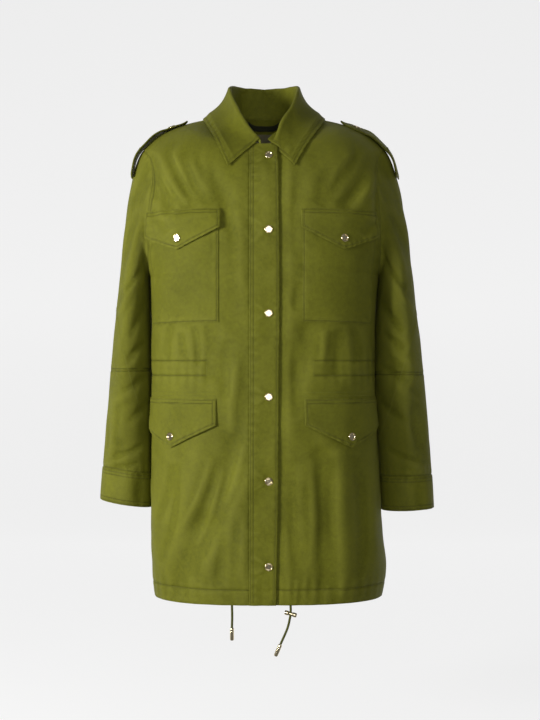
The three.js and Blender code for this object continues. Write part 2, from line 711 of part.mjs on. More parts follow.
/** Moves a point out of the body, so that it stands clear of the nearest place on it. */
function restClear(point, clear) {
  if (!bodySamples.length)
    for (const side of [WEARER_RIGHT, WEARER_LEFT])
      for (const part of [FRONT, BACK])
        for (let level = 1.55; level <= 3; level += 0.045)
          for (let share = 0.01; share <= 1; share += 0.04) {
            const turn = share * edgeTurn(side, part, level);
            bodySamples.push({
              point: bodyAt(side, part, turn, level),
              out: outwards(side, part, turn, level),
            });
          }
  return standOff(point, clear, bodySamples);
}

/** The roll line or outer edge of the collar at a turn from the middle of the back (below 0: wearer's right). */
function collarLine(turn, line) {
  const get = (axis) => read(COLLAR_ROWS, "turn", line + axis, Math.abs(turn));
  const shift = COLLAR_CENTRE * rise(120, LAST_TURN, Math.abs(turn));
  return new THREE.Vector3(Math.sign(turn) * get("X") + shift, get("Y"), get("Z"));
}

/** The neck edge of the body under a turn of the collar. */
function neckEdge(turn) {
  const side = turn < 0 ? WEARER_RIGHT : WEARER_LEFT;
  const round = Math.abs(turn);
  const part = round <= 90 ? BACK : FRONT;
  const share = part === BACK ? round * DEGREE : (180 - round) * DEGREE;
  return bodyAt(side, part, share, 3);
}

/** The collar: a standing strip on the neck edge, and the fall that is rolled over it onto the shoulders. */
function collar() {
  const stand = gridOf(STAND_STEPS, COLLAR_STEPS, (u, v) => {
    const turn = LAST_TURN * (2 * u - 1);
    const foot = neckEdge(turn);
    foot.z += NECK_GAP;
    const top = collarLine(turn, "roll");
    const inward = new THREE.Vector3(top.x, top.y, 0).normalize();
    top.addScaledVector(inward, -STAND_INSET);
    top.z -= STAND_DROP;
    return foot.lerp(top, v);
  });
  add("collar_stand", wallOf(stand, STAND_WALL, bodyCore), CLOTH);
  const fall = gridOf(FALL_STEPS, COLLAR_STEPS, (u, v) => {
    const turn = LAST_TURN * (2 * u - 1);
    const roll = collarLine(turn, "roll");
    const edge = collarLine(turn, "edge");
    const along = collarLine(turn + 1, "roll").sub(collarLine(turn - 1, "roll"));
    const out = along.cross(edge.clone().sub(roll)).normalize().negate();
    const swell = FALL_BULGE * Math.sin(Math.PI * Math.min(v * 1.3, 1));
    const point = roll.lerp(edge, v).addScaledVector(out, swell);
    const short = Math.max(FALL_FRONT_LEFT - point.x, 0) * rise(0, 0.2, v);
    point.x += short * rise(150, LAST_TURN, turn);
    return restClear(point, FALL_WALL + FALL_CLEAR);
  });
  add("collar_fall", wallOf(fall, FALL_WALL, (p) => new THREE.Vector3(0, -10, p.z - 60)), CLOTH);
}

/** A snap cap standing on a place, its face along the way out. */
function snap(name, place, out) {
  const profile = [
    new THREE.Vector2(0, 0),
    new THREE.Vector2(SNAP.radius, 0),
    new THREE.Vector2(SNAP.radius, SNAP.height * 0.6),
    new THREE.Vector2(SNAP.rim, SNAP.height),
    new THREE.Vector2(0, SNAP.dish),
  ];
  const cap = new THREE.LatheGeometry(profile, SNAP.sides);
  cap.applyQuaternion(new THREE.Quaternion().setFromUnitVectors(new THREE.Vector3(0, 1, 0), out));
  const seat = place.clone().addScaledVector(out, SNAP_GAP);
  add(name, cap.translate(seat.x, seat.y, seat.z), METAL);
}

/** A flap with a pointed foot, its upper edge on the coat and its foot standing off it, and its snap. */
function flap(name, side, inner, wide, heights, lifts) {
  const at = (u, v) => {
    const corner = u < 0.5 ? heights.innerCorner : heights.outerCorner;
    const foot = corner + (heights.point - corner) * (1 - Math.abs(2 * u - 1));
    const height = heights.top + (foot - heights.top) * v;
    const lift = FLAP_WALL + REST_GAP + lifts.over * rise(0, 0.3, v) + FLAP_TIP_LIFT * v * v;
    return onFront(side, inner + wide * u, height, lift);
  };
  const grid = gridOf(FLAP_ROWS, FLAP_COLUMNS, (u, v) => at(u, v).point);
  add(name, wallOf(grid, FLAP_WALL, bodyCore), CLOTH);
  const reach = (heights.top - heights.point - FLAP_SNAP_UP) / (heights.top - heights.point);
  const seat = at(0.5, reach);
  snap(name + "_snap", seat.point, seat.out);
}

/** The pockets of one side: chest patch and flap, and the hip flap. */
function pockets(side) {
  const name = sideName(side);
  const inner = POCKETS.inner[name];
  const patch = gridOf(PATCH_ROWS, PATCH_COLUMNS, (u, v) => {
    const foot = POCKETS.patchBottom - POCKETS.patchDrop * u;
    const height = foot + (POCKETS.patchTop - foot) * v;
    return onFront(side, inner + 2 + (POCKETS.width - 6) * u, height, PATCH_WALL + REST_GAP).point;
  });
  add("chest_pocket_" + name, wallOf(patch, PATCH_WALL, bodyCore), CLOTH);
  const chest = {
    top: POCKETS.chestTop,
    innerCorner: POCKETS.chestInnerCorner,
    outerCorner: POCKETS.chestOuterCorner,
    point: POCKETS.chestPoint,
  };
  flap("chest_flap_" + name, side, inner, POCKETS.width, chest, { over: FLAP_LIFT - REST_GAP });
  const hip = {
    top: POCKETS.hipTop,
    innerCorner: POCKETS.hipInnerCorner,
    outerCorner: POCKETS.hipOuterCorner,
    point: POCKETS.hipPoint,
  };
  flap("hip_flap_" + name, side, POCKETS.hipInner[name], POCKETS.hipWidth, hip, { over: 0.4 });
}

/** A strap along the shoulder seam with its snap. */
function strap(side) {
  const name = sideName(side);
  const tilt = STRAP_TILT[name];
  const grid = gridOf(STRAP_STEPS, 2, (u, v) => {
    const get = (column) => read(STRAP_ROWS, "share", column, v);
    const y = STRAP_MIDDLE + get("half") * (2 * u - 1);
    const point = new THREE.Vector3(side * get("out"), y, get("height") + tilt * y * (1 - rise(0.6, 1, v)));
    point.x += side * tilt * y * rise(0.5, 1, v) * 0.5;
    return point;
  });
  grid.forEach((row, j) => {
    const samples = Math.abs(row[1].x) > STRAP_ON_SLEEVE ? sleeveSamples : bodySamples;
    const { stands, out } = standing(row[1], samples);
    const air = read(STRAP_ROWS, "share", "air", j / STRAP_STEPS);
    row.forEach((point) => point.addScaledVector(out, STRAP_WALL + air - stands));
    row.forEach((point) => standOff(point, STRAP_CLEAR + STRAP_WALL, samples));
  });
  const core = (point) => new THREE.Vector3(point.x * 0.7, point.y, point.z - 80);
  add("shoulder_strap_" + name, wallOf(grid, STRAP_WALL, core), CLOTH);
  const row = Math.round(STRAP_SNAP_SHARE * STRAP_STEPS);
  const normals = gridNormals(grid, core, false);
  snap("shoulder_strap_snap_" + name, grid[row][1].clone(), normals[row][1]);
}

/** What shows inside the back neck: a hanger loop and a plain label. */
function backNeck() {
  const inside = (x, z, lift) => {
    const side = x < 0 ? WEARER_RIGHT : WEARER_LEFT;
    const place = roundTo(side, BACK, Math.abs(x), z);
    const out = outwards(side, BACK, place.turn, place.level);
    return bodyAt(side, BACK, place.turn, place.level).addScaledVector(out, -WALL - lift);
  };
  const loop = gridOf(1, LOOP.steps, (u, v) => {
    const across = 2 * u - 1;
    const height = LOOP.top - LOOP.sag * (1 - across ** 4) - LOOP.width * (1 - v);
    return inside(LOOP.half * across, height, REST_GAP + LOOP.in * (1 - across * across));
  });
  add("hanger_loop", wallOf(loop, LOOP.wall, bodyCore), PLAIN);
  const label = gridOf(2, LABEL.steps, (u, v) =>
    inside(LABEL.half * (2 * u - 1), LABEL.top - LABEL.height * (1 - v), REST_GAP),
  );
  add("neck_label", wallOf(label, LABEL.wall, bodyCore), PLAIN);
}

/** A round cord along points. */
function cord(name, points) {
  const path = new THREE.CatmullRomCurve3(points);
  const circle = new THREE.Shape(
    Array.from({ length: CORD_SIDES }, (_, k) => {
      const turn = (k / CORD_SIDES) * 2 * Math.PI;
      return new THREE.Vector2(CORD_RADIUS * Math.cos(turn), CORD_RADIUS * Math.sin(turn));
    }),
  );
  const steps = Math.max(2, Math.round(path.getLength() / CORD_STEP));
  add(name, new THREE.ExtrudeGeometry(circle, { steps, bevelEnabled: false, extrudePath: path }), CORD);
}

/** A turned metal piece: radii at shares of its length, from a place on along a way. */
function turned(name, place, way, length, sides, radii) {
  const profile = radii.map(([share, radius]) => new THREE.Vector2(radius, length * share));
  const ends = [new THREE.Vector2(0, 0), new THREE.Vector2(0, length)];
  const body = new THREE.LatheGeometry([ends[0], ...profile, ends[1]], sides);
  body.applyQuaternion(new THREE.Quaternion().setFromUnitVectors(new THREE.Vector3(0, 1, 0), way));
  add(name, body.translate(place.x, place.y, place.z), METAL);
}

/** The two free ends of the hem drawcord, their metal ends and the barrel stopper on one of them. */
function drawcord() {
  const at = (x, z) => new THREE.Vector3(x, CORD_Y, z);
  const radii = [
    [0, CORD_END.neck],
    [0.12, CORD_END.radius],
    [0.94, CORD_END.radius],
    [1, CORD_END.neck],
  ];
  const bow = at(RIGHT_CORD.x + 0.4, RIGHT_CORD.end / 2);
  cord("drawcord_right", [at(RIGHT_CORD.x, -CORD_GAP), bow, at(RIGHT_CORD.x, RIGHT_CORD.end)]);
  const hanging = at(RIGHT_CORD.x, RIGHT_CORD.end - CORD_GAP);
  const down = new THREE.Vector3(0, 0, -1);
  turned("cord_end_right", hanging, down, CORD_END.length, CORD_END.sides, radii);
  const lean = STOPPER.tilt * DEGREE;
  const clear = (STOPPER.waist + CORD_GAP) / Math.cos(lean) + CORD_RADIUS * Math.tan(lean);
  cord("drawcord_left_upper", [at(LEFT_CORD.x0, -CORD_GAP), at(LEFT_CORD.x0, STOPPER.z + clear)]);
  const from = at(STOPPER.x - 0.4, STOPPER.z - clear);
  const knee = at(LEFT_CORD.kneeX, LEFT_CORD.kneeZ - 10);
  cord("drawcord_left_lower", [from, knee, at(LEFT_CORD.x1, LEFT_CORD.end)]);
  const way = at(LEFT_CORD.x1, LEFT_CORD.end).sub(knee).normalize();
  const foot = at(LEFT_CORD.x1, LEFT_CORD.end).addScaledVector(way, CORD_GAP * 2);
  turned("cord_end_left", foot, way, CORD_END.length, CORD_END.sides, radii);
  const barrel = new THREE.Vector3(Math.cos(lean), 0, -Math.sin(lean));
  const start = at(STOPPER.x, STOPPER.z).addScaledVector(barrel, -STOPPER.length / 2);
  turned("cord_stopper", start, barrel, STOPPER.length, STOPPER.sides, [
    [0, STOPPER.waist],
    [0.08, STOPPER.radius],
    [0.3, STOPPER.radius],
    [0.38, STOPPER.waist],
    [0.62, STOPPER.waist],
    [0.7, STOPPER.radius],
    [0.92, STOPPER.radius],
    [1, STOPPER.waist],
  ]);
}

/** The snaps down the front band. */
function frontSnaps() {
  FRONT_SNAP_HEIGHTS.forEach((height, k) => {
    const seat = onFront(WEARER_LEFT, FRONT_SNAP_X, height, 0);
    snap("front_snap_" + (k + 1), seat.point, seat.out);
  });
}

for (const side of [WEARER_RIGHT, WEARER_LEFT]) {
  frontPanel(side);
  sleeve(side);
  pockets(side);
}
backPanel();
band();
collar();
for (const side of [WEARER_RIGHT, WEARER_LEFT]) strap(side);
frontSnaps();
backNeck();
drawcord();

export default coat;
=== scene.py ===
"""A hip-length cotton parka, filled out with no wearer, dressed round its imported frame.

The coat is made of cut pieces. Each is a grid of points on a surface, worked out for the whole grid at once
from a formula in two shares, given a wall and put into a mesh. Sizes in the classes are millimetres, and
heights are measured up from the hem; `to_frame` turns them into the frame's metres. The frame's origin is
where the wearer's shoulders hold the coat, its front faces -Y, and the wearer's left is +X.
"""

from __future__ import annotations

import logging
import math
from dataclasses import dataclass, field
from enum import Enum

import bpy
import numpy as np
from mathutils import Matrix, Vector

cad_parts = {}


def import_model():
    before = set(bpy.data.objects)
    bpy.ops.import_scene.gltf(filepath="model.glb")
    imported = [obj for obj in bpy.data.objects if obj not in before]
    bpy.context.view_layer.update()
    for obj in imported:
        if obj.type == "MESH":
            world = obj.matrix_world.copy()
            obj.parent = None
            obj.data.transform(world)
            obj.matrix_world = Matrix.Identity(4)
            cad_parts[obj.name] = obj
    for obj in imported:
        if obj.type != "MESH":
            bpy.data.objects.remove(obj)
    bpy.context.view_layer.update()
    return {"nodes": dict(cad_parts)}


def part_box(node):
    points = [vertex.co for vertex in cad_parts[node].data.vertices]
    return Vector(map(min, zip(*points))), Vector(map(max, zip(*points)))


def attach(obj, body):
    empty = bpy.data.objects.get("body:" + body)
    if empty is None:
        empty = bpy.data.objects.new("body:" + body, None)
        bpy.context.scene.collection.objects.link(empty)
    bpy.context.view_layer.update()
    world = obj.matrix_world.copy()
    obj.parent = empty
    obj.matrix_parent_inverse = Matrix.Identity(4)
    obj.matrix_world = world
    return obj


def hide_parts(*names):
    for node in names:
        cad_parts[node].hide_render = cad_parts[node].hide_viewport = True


log = logging.getLogger("parka")

MM = 0.001
HELD_HEIGHT = 745.0
QUARTER = math.pi / 2
BODY = "root"

Array = np.ndarray
Sizes = np.ndarray | float
Rows = tuple[tuple[float, ...], ...]
Colour = tuple[float, float, float, float]
Look = bpy.types.Material
Made = bpy.types.Object
Socket = bpy.types.NodeSocket
Inputs = dict[str | int, object]


class Side(Enum):
    """A side of the coat as the wearer has it; the value is the sign of X."""

    RIGHT = -1
    LEFT = 1

    @property
    def word(self) -> str:
        """The side's name in node names."""
        return self.name.lower()


class Part(Enum):
    """The front or the back of the body; the value is the sign of Y."""

    FRONT = -1
    BACK = 1

    @property
    def word(self) -> str:
        """The part's column name in the tables."""
        return self.name.lower()


class Edge(Enum):
    """An edge of a grid: whether it runs along a row, and whether it is the last one."""

    FOOT = (True, False)
    HEAD = (True, True)
    START = (False, False)
    END = (False, True)


def to_frame(points: Array) -> Array:
    """Turns millimetres above the hem into the frame's metres.

    Args:
        points: places, with X, Y and Z on the last axis.

    Returns:
        The same places in the frame.
    """
    return (points - np.array([0.0, 0.0, HELD_HEIGHT])) * MM


def rise(low: float, high: float, at: Array) -> Array:
    """0 below low, 1 above high and the smooth step 3tt - 2ttt between them.

    Args:
        low: where the rise begins.
        high: where it ends; it may lie below low.
        at: the places to work out.

    Returns:
        The height of the step at each place.
    """
    t = np.clip((at - low) / (high - low), 0.0, 1.0)
    return t * t * (3.0 - 2.0 * t)


def bell(away: Array, half: float) -> Array:
    """The bell exp(-dd/hh), 1 where away is 0."""
    return np.exp(-((away / half) ** 2))


def unit(vectors: Array) -> Array:
    """Vectors of length one along the last axis."""
    return vectors / np.maximum(np.linalg.norm(vectors, axis=-1, keepdims=True), 1e-9)


def distances(points: Array) -> Array:
    """The distance gone along a line of places, from 0 at its first."""
    return np.concatenate([[0.0], np.cumsum(np.linalg.norm(np.diff(points, axis=0), axis=1))])


def turns_round(count: int) -> Array:
    """Even turns once round from 0, in radians."""
    return np.arange(count) / count * 2 * np.pi


def shares(count: int, edge: float = 0.25) -> Array:
    """Even shares from 0 to 1 with one extra close to each end, which rounds a cut edge.

    Args:
        count: how many even steps there are.
        edge: how far the extra share stands from the end, in steps.

    Returns:
        The shares, count + 3 of them.
    """
    inner = np.linspace(0.0, 1.0, count + 1)
    return np.concatenate([[0.0, edge / count], inner[1:-1], [1.0 - edge / count, 1.0]])


def knots(length: float, count: int, rows: tuple[float, ...] = ()) -> Array:
    """Even shares from 0 to 1 with one more close to each end and three across each row of stitches.

    Args:
        length: the piece's length this way, in millimetres.
        count: how many even steps there are.
        rows: where rows of stitches lie, below 0 when measured from the far end.

    Returns:
        The shares, in order.
    """
    near = [0.0, 0.5, length - 0.5, length] + [row % length + d for row in rows for d in (-1.3, 0.0, 1.3)]
    even = np.linspace(0.0, length, count + 1)
    even = even[np.abs(even[:, None] - np.array(near)).min(1) > 0.35 * length / count]
    return np.unique(np.concatenate([near, even])) / length


@dataclass(frozen=True)
class Table:
    """A short table of sizes. The first column is the key, and rows are in its order."""

    names: str
    rows: Rows

    def read(self, column: str, at: Sizes) -> Array:
        """Reads a column on a smooth curve: a cubic between rows, its slopes from each row's neighbours.

        Args:
            column: the column's name.
            at: places along the key column; past its ends the end rows hold.

        Returns:
            The column's value at each place.
        """
        data = np.array(self.rows)
        keys, values = data[:, 0], data[:, self.names.split().index(column)]
        last = len(keys) - 1
        place = np.clip(at, keys[0], keys[-1])
        i = np.clip(np.searchsorted(keys, place) - 1, 0, last - 1)
        before, after = np.maximum(i - 1, 0), np.minimum(i + 2, last)
        span = keys[i + 1] - keys[i]
        t = (place - keys[i]) / span
        begin = (values[i + 1] - values[before]) / (keys[i + 1] - keys[before]) * span
        end = (values[after] - values[i]) / (keys[after] - keys[i]) * span
        first, second = 2 * t**3 - 3 * t**2 + 1, 3 * t**2 - 2 * t**3
        start, stop = (t**3 - 2 * t**2 + t) * begin, (t**3 - t**2) * end
        return first * values[i] + second * values[i + 1] + start + stop


@dataclass(frozen=True)
class Folds:
    """Folds: each is a soft trough (depth above 0) or ridge (below 0) along a bowed line.

    Rows are grouped by the side or part that they lie on. A row holds both ends of its line, its half-width,
    its depth, and how far the line bows sideways at its middle. Folds fade out towards their ends, or end
    round.
    """

    rows: dict[int, Rows]
    fades: bool = True

    def depth(self, key: int, across: Array, up: Array, wrap: float = 0.0) -> Array:
        """Adds up the folds of one side or part.

        A fold's section is a bell, exp(-dd/hh), d being the distance to its line and h its half-width. Along
        the line it is level, or sin(pi t) to the power 0.7 where it fades.

        Args:
            key: which side or part.
            across: places across the surface.
            up: places up it.
            wrap: the distance all round, on a tube.

        Returns:
            How deep the surface lies at each place.
        """
        total = np.zeros(np.broadcast(across, up).shape)
        for x0, z0, x1, z1, half, depth, bow in self.rows[key]:
            dx, dz = x1 - x0, z1 - z0
            length = math.hypot(dx, dz)
            from_x = across - x0
            if wrap:
                from_x = (from_x - dx / 2 + wrap / 2) % wrap - wrap / 2 + dx / 2
            t = (from_x * dx + (up - z0) * dz) / length**2
            held = np.clip(t, 0.0, 1.0)
            aside = (from_x * dz - (up - z0) * dx) / length - bow * 4 * held * (1 - held)
            beyond = (t - held) * length
            section = np.exp(-(aside**2 + beyond**2) / half**2)
            along = np.sin(np.pi * held) ** 0.7 if self.fades else 1.0
            total += depth * section * along
        return total


@dataclass(frozen=True)
class Rumple:
    """The small unevenness of worn cloth: long soft waves in a few directions, each fading in and out."""

    seed: int
    height: float
    shortest: float = 28.0
    longest: float = 95.0
    waves: int = 9

    def at(self, across: Array, up: Array) -> Array:
        """Adds up sine waves whose directions, lengths and phases come from a seeded draw.

        Each wave's line is itself bent by a slow sine, and each is faded in and out by a slower one.

        Args:
            across: millimetres across the cloth.
            up: millimetres up it.

        Returns:
            The height of the cloth at each place, in millimetres.
        """
        draw = np.random.default_rng(self.seed)
        total = np.zeros(np.broadcast(across, up).shape)
        for _ in range(self.waves):
            turn, length = draw.uniform(-0.9, 0.9), draw.uniform(self.shortest, self.longest)
            phase, slow, bend = draw.uniform(0.0, 2 * np.pi, 3)
            along = across * math.cos(turn) + up * math.sin(turn)
            cross = up * math.cos(turn) - across * math.sin(turn)
            along = along + 0.16 * length * np.sin(cross / (0.9 * length) + bend)
            fade = np.clip(np.sin(cross / (1.7 * length) + slow) * 1.2, 0.0, 1.0)
            total += fade * np.sin(2 * np.pi * along / length + phase) * (length / self.longest)
        return self.height * total / math.sqrt(self.waves)


def pucker(away: Array, along: Array, reach: float, wave: float, seed: int) -> Array:
    """The ripple that a row of stitching draws up: sin along the row, dying off exp(-dd/rr) away from it.

    Args:
        away: distance from the row, in millimetres.
        along: distance along it.
        reach: r, how far the ripple reaches.
        wave: the ripple's length.
        seed: the draw that makes it uneven.

    Returns:
        The ripple's height, from -1 to 1.
    """
    draw = np.random.default_rng(seed)
    first, second, third = draw.uniform(0.0, 2 * np.pi, 3)
    uneven = along + 0.3 * wave * np.sin(along / (1.3 * wave) + first)
    size = 0.6 + 0.4 * np.sin(along / (2.9 * wave) + second)
    return bell(away, reach) * size * np.sin(2 * np.pi * uneven / wave + third)


@dataclass
class BodyForm:
    """The surface that the fronts, the back and all that lies on them share.

    At each level the outline is half a superellipse, pulled at its end to the armhole or the shoulder seam.
    A level is 0 at the hem, 1 at the underarm, 2 at the shoulder point and 3 at the neck.
    """

    underarm: float = 535.0
    tip: float = 752.0
    reach: float = 66.0
    seam_gap: float = -0.2
    shoulder_gap: float = -0.3
    edge_power: float = 4.0
    waist: float = 381.0
    waist_half: float = 12.0
    hem_band: float = 25.0
    crease_gain: float = 1.75
    rows: Table = Table(
        "height right left front back",
        (
            (0, 185, 200, 126, 120),
            (45, 189, 206, 130, 124),
            (110, 190, 200, 132, 124),
            (180, 190, 196, 133, 122),
            (250, 190, 192, 132, 119),
            (330, 190, 188, 130, 114),
            (420, 190, 187, 128, 112),
            (500, 191, 190, 129, 117),
            (535, 192, 193, 130, 120),
        ),
    )
    centre: Table = Table(
        "height front back",
        (
            (535, 130, 120),
            (620, 129, 124),
            (690, 119, 119),
            (725, 103, 110),
            (750, 87, 101),
            (785, 70, 86),
            (816, 60, 69),
        ),
    )
    armhole: Table = Table(
        "turn out", ((-90, 192), (-45, 195), (0, 192), (25, 188), (50, 193), (72, 201), (90, 205))
    )
    shoulder: Table = Table(
        "share out height", ((0, 205, 752), (0.22, 177, 777), (0.5, 135, 794), (0.76, 98, 803), (1, 66, 810))
    )
    levels: Table = Table(
        "level front back wide square soft",
        (
            (1, 535, 535, 193, 2.6, 0),
            (1.5, 618, 640, 200, 2.5, 0.4),
            (1.75, 656, 690, 194, 2.4, 0.6),
            (2, 690, 735, 180, 2.3, 0.7),
            (2.25, 710, 761, 158, 2.2, 0.7),
            (2.5, 726, 783, 131, 2.1, 0.55),
            (3, 750, 816, 66, 2.0, 0.1),
        ),
    )
    folds: Folds = Folds({
        -1: (
            (-188, 722, -157, 652, 13, 4, 0), (-163, 735, -121, 648, 13, 5, 0),
            (-143, 762, -113, 680, 12, 3, 0), (181, 735, 128, 648, 15, 5, 0),
            (-50, 262, -98, 130, 20, 6, 0), (-98, 130, -142, 28, 20, 6, 0), (-24, 212, -88, 70, 20, -4, 0),
            (-112, 235, -158, 90, 22, -3, 0), (92, 240, 100, 40, 17, 4, 0), (122, 240, 132, 20, 16, -3, 0),
            (-86, 440, -84, 372, 14, 3, 0), (68, 440, 62, 372, 14, 3, 0), (122, 430, 118, 380, 14, 3, 0),
        ),
        1: (
            (-60, 640, -84, 470, 24, 5, 0), (64, 620, 90, 450, 24, 5, 0), (6, 330, -10, 20, 26, 5, 0),
            (110, 300, 128, 30, 22, 4, 0), (-116, 320, -126, 40, 22, 4, 0),
        ),
    }, fades=False)
    creases: Folds = Folds({
        -1: (
            (-196, 700, -150, 628, 8, 2.6, 5), (-182, 700, -147, 636, 7, 3.0, 2),
            (-156, 696, -119, 640, 6, -2.2, 2), (-138, 712, -84, 640, 12, 2.6, 4),
            (-92, 700, -58, 600, 16, 2.2, -5), (-188, 716, -181, 616, 6, 2.6, 0),
            (190, 716, 185, 606, 6, 3.2, 0), (172, 700, 132, 640, 9, 2.8, -4),
            (134, 712, 92, 640, 11, 2.2, -4), (-150, 228, -172, 130, 9, 2.2, -4),
            (-46, 250, -120, 40, 13, 2.4, -14), (-84, 238, -140, 110, 7, -1.8, -8),
            (-176, 742, -132, 662, 6, -1.8, 4), (-152, 748, -116, 664, 5, -1.5, 3),
            (-126, 770, -96, 690, 7, 1.8, 3), (-186, 640, -150, 600, 8, 2.0, 3),
            (-104, 720, -64, 640, 13, 2.4, -6), (-64, 690, -40, 560, 12, 1.8, 4),
            (-44, 640, -34, 470, 11, -1.5, -3), (196, 716, 140, 640, 7, -2.2, -6),
            (168, 760, 112, 668, 9, 2.4, -6), (118, 716, 86, 640, 12, 1.8, 5),
            (60, 700, 44, 560, 12, 1.8, 4), (190, 640, 158, 596, 8, 2.0, -4),
            (-60, 430, -58, 330, 12, 2.2, 5), (-40, 400, -52, 260, 10, -1.8, 4),
            (44, 430, 50, 300, 12, 2.2, -5), (-112, 450, -104, 384, 7, 1.5, 0),
            (-134, 440, -130, 388, 6, 1.4, 0), (-150, 455, -158, 390, 8, 1.8, 4),
            (98, 445, 96, 386, 7, -1.3, 0), (146, 450, 152, 386, 9, 2.0, -4),
            (-32, 262, -70, 150, 8, -2.2, -5), (-66, 225, -112, 92, 7, -2.0, -6),
            (-140, 230, -168, 60, 10, 2.6, -8), (-176, 240, -180, 60, 9, -1.6, 3),
            (-58, 150, -72, 24, 11, 2.2, 4), (-34, 160, -38, 30, 9, -1.5, -3),
            (44, 240, 56, 40, 12, 2.2, 5), (76, 235, 78, 60, 9, -1.7, -4), (112, 240, 116, 60, 8, 1.6, 4),
            (150, 240, 160, 40, 11, 2.4, -6), (180, 250, 186, 50, 9, -1.6, 4),
            (-26, 620, -12, 590, 6, 0.9, 0), (60, 520, 52, 470, 9, 1.2, 3),
        ),
        1: (
            (-150, 720, -60, 660, 12, 2.4, -10), (150, 720, 66, 664, 12, 2.4, 10),
            (-176, 660, -110, 600, 9, 2.2, -8), (176, 650, 108, 590, 9, 2.2, 8),
            (-30, 640, -44, 420, 14, -2.2, 8), (36, 640, 50, 420, 14, -2.2, -8),
            (0, 560, 4, 400, 16, 2.0, 6), (-120, 450, -100, 372, 9, 1.8, 4),
            (122, 450, 104, 372, 9, 1.8, -4), (-70, 430, -66, 366, 8, 1.6, 0),
            (74, 430, 66, 366, 8, 1.6, 0), (-48, 330, -62, 40, 13, -2.4, 7),
            (56, 330, 66, 40, 13, -2.4, -7), (30, 250, 36, 30, 10, 2.0, 4),
            (-88, 250, -96, 30, 10, 2.0, -4), (150, 300, 168, 40, 12, 2.2, 6),
            (-150, 300, -168, 40, 12, 2.2, -6),
        ),
    })
    rumples: dict[Part, Rumple] = field(
        default_factory=lambda: {Part.FRONT: Rumple(11, 1.3), Part.BACK: Rumple(23, 1.3)}
    )

    def outline(self, side: Side, part: Part, level: Array) -> dict[str, Array]:
        """The sizes of the outline at each level.

        Args:
            side: which side of the coat.
            part: front or back.
            level: levels from 0 to 3.

        Returns:
            out, edge_y and edge_z of the panel's edge; wide, deep and centre_z of the superellipse; its
            square power; and soft, the share of an even rise from the middle to the edge.
        """
        level = np.asarray(level, float)
        gap = self.seam_gap + (self.shoulder_gap - self.seam_gap) * rise(1.6, 1.95, level)
        seam = part.value * 0.5 * gap
        low, height = level <= 1.0, np.clip(level, 0.0, 1.0) * self.underarm
        across = self.rows.read(side.word, height)
        centre_z = np.where(low, height, self.levels.read(part.word, level))
        turn = np.radians(-90.0 + 180.0 * (np.clip(level, 1.0, 2.0) - 1.0))
        past = np.clip(level - 2.0, 0.0, 1.0)
        on_armhole = level <= 2.0
        hole, slope = self.armhole.read("out", np.degrees(turn)), self.shoulder.read("out", past)
        out = np.where(on_armhole, hole, slope)
        edge_z = np.where(
            on_armhole,
            (self.tip + self.underarm) / 2 + (self.tip - self.underarm) / 2 * np.sin(turn),
            self.shoulder.read("height", past),
        )
        reach = np.where(low | ~on_armhole, 0.0, part.value * self.reach * np.cos(turn))
        return {
            "out": np.where(low, across, out),
            "edge_y": seam + reach,
            "edge_z": np.where(low, height, edge_z),
            "wide": np.where(low, across, self.levels.read("wide", level)),
            "deep": np.where(low, self.rows.read(part.word, height), self.centre.read(part.word, centre_z)),
            "centre_z": centre_z,
            "square": self.levels.read("square", level),
            "soft": np.where(low, 0.0, self.levels.read("soft", level)),
        }

    def edge_turn(self, side: Side, part: Part, level: Array) -> Array:
        """How far the panel's edge is turned from the middle line, in radians."""
        row = self.outline(side, part, level)
        return np.arctan2(row["out"], part.value * row["edge_y"])

    def wear(self, side: Side, part: Part, turn: Array, share: Array, x: Array, z: Array) -> Array:
        """The depth of the creases, gathers and unevenness at places on a panel.

        Hem band and waist casing are drawn up in short ripples. All dies off at the armhole and shoulder.

        Args:
            side: which side of the coat.
            part: front or back.
            turn: the turn from the middle line, in radians.
            share: that turn's share of the way to the panel's edge.
            x: millimetres across.
            z: heights.

        Returns:
            The depth in millimetres.
        """
        round_way = side.value * turn * 165.0
        depth = self.crease_gain * self.creases.depth(part.value, x, z) - self.rumples[part].at(round_way, z)
        waist = np.abs(np.abs(z - self.waist) - self.waist_half)
        sides = rise(70.0, 95.0, np.abs(x)) if part is Part.FRONT else rise(0.0, 20.0, np.abs(x) + 20.0)
        depth += sides * 0.6 * pucker(waist, round_way, 17.0, 18.0, 5 + part.value)
        depth += sides * 0.8 * bell(waist, 3.2)
        hem = np.abs(z - self.hem_band)
        stronger = 1.0 + 0.5 * rise(0.0, 120.0, x)
        depth += 0.42 * stronger * pucker(hem, round_way, 20.0, 17.0, 8 + part.value)
        depth += 0.4 * stronger * pucker(z, round_way, 14.0, 31.0, 9)
        depth += 0.6 * bell(z - self.hem_band, 2.6)
        above = rise(self.underarm - 60.0, self.underarm + 30.0, z)
        depth += above * 0.8 * pucker((1.0 - np.abs(share)) * 170.0, z, 16.0, 19.0, 4)
        return depth * (1.0 - above * np.clip(np.abs(share), 0.0, 1.0) ** 14)

    def at(
        self, side: Side, part: Part, turn: Array, level: Array, lift: Sizes = 0.0, worn: bool = True
    ) -> Array:
        """Places on the body's outside.

        The reach at a turn a is (|sin a / wide|^n + |cos a / deep|^n)^(-1/n), and the edge's own place pulls
        it by the fourth power of the share of the way there. The height rises from the middle line to the
        edge.

        Args:
            side: which side of the coat.
            part: front or back.
            turn: turns from the middle line, in radians.
            level: levels from 0 to 3.
            lift: how far out of the surface the places are moved.
            worn: whether creases and gathers count, beside the large folds.

        Returns:
            Millimetres, with X, Y and Z on the last axis.
        """
        row = self.outline(side, part, level)
        power, wide, deep = row["square"], row["wide"], row["deep"]

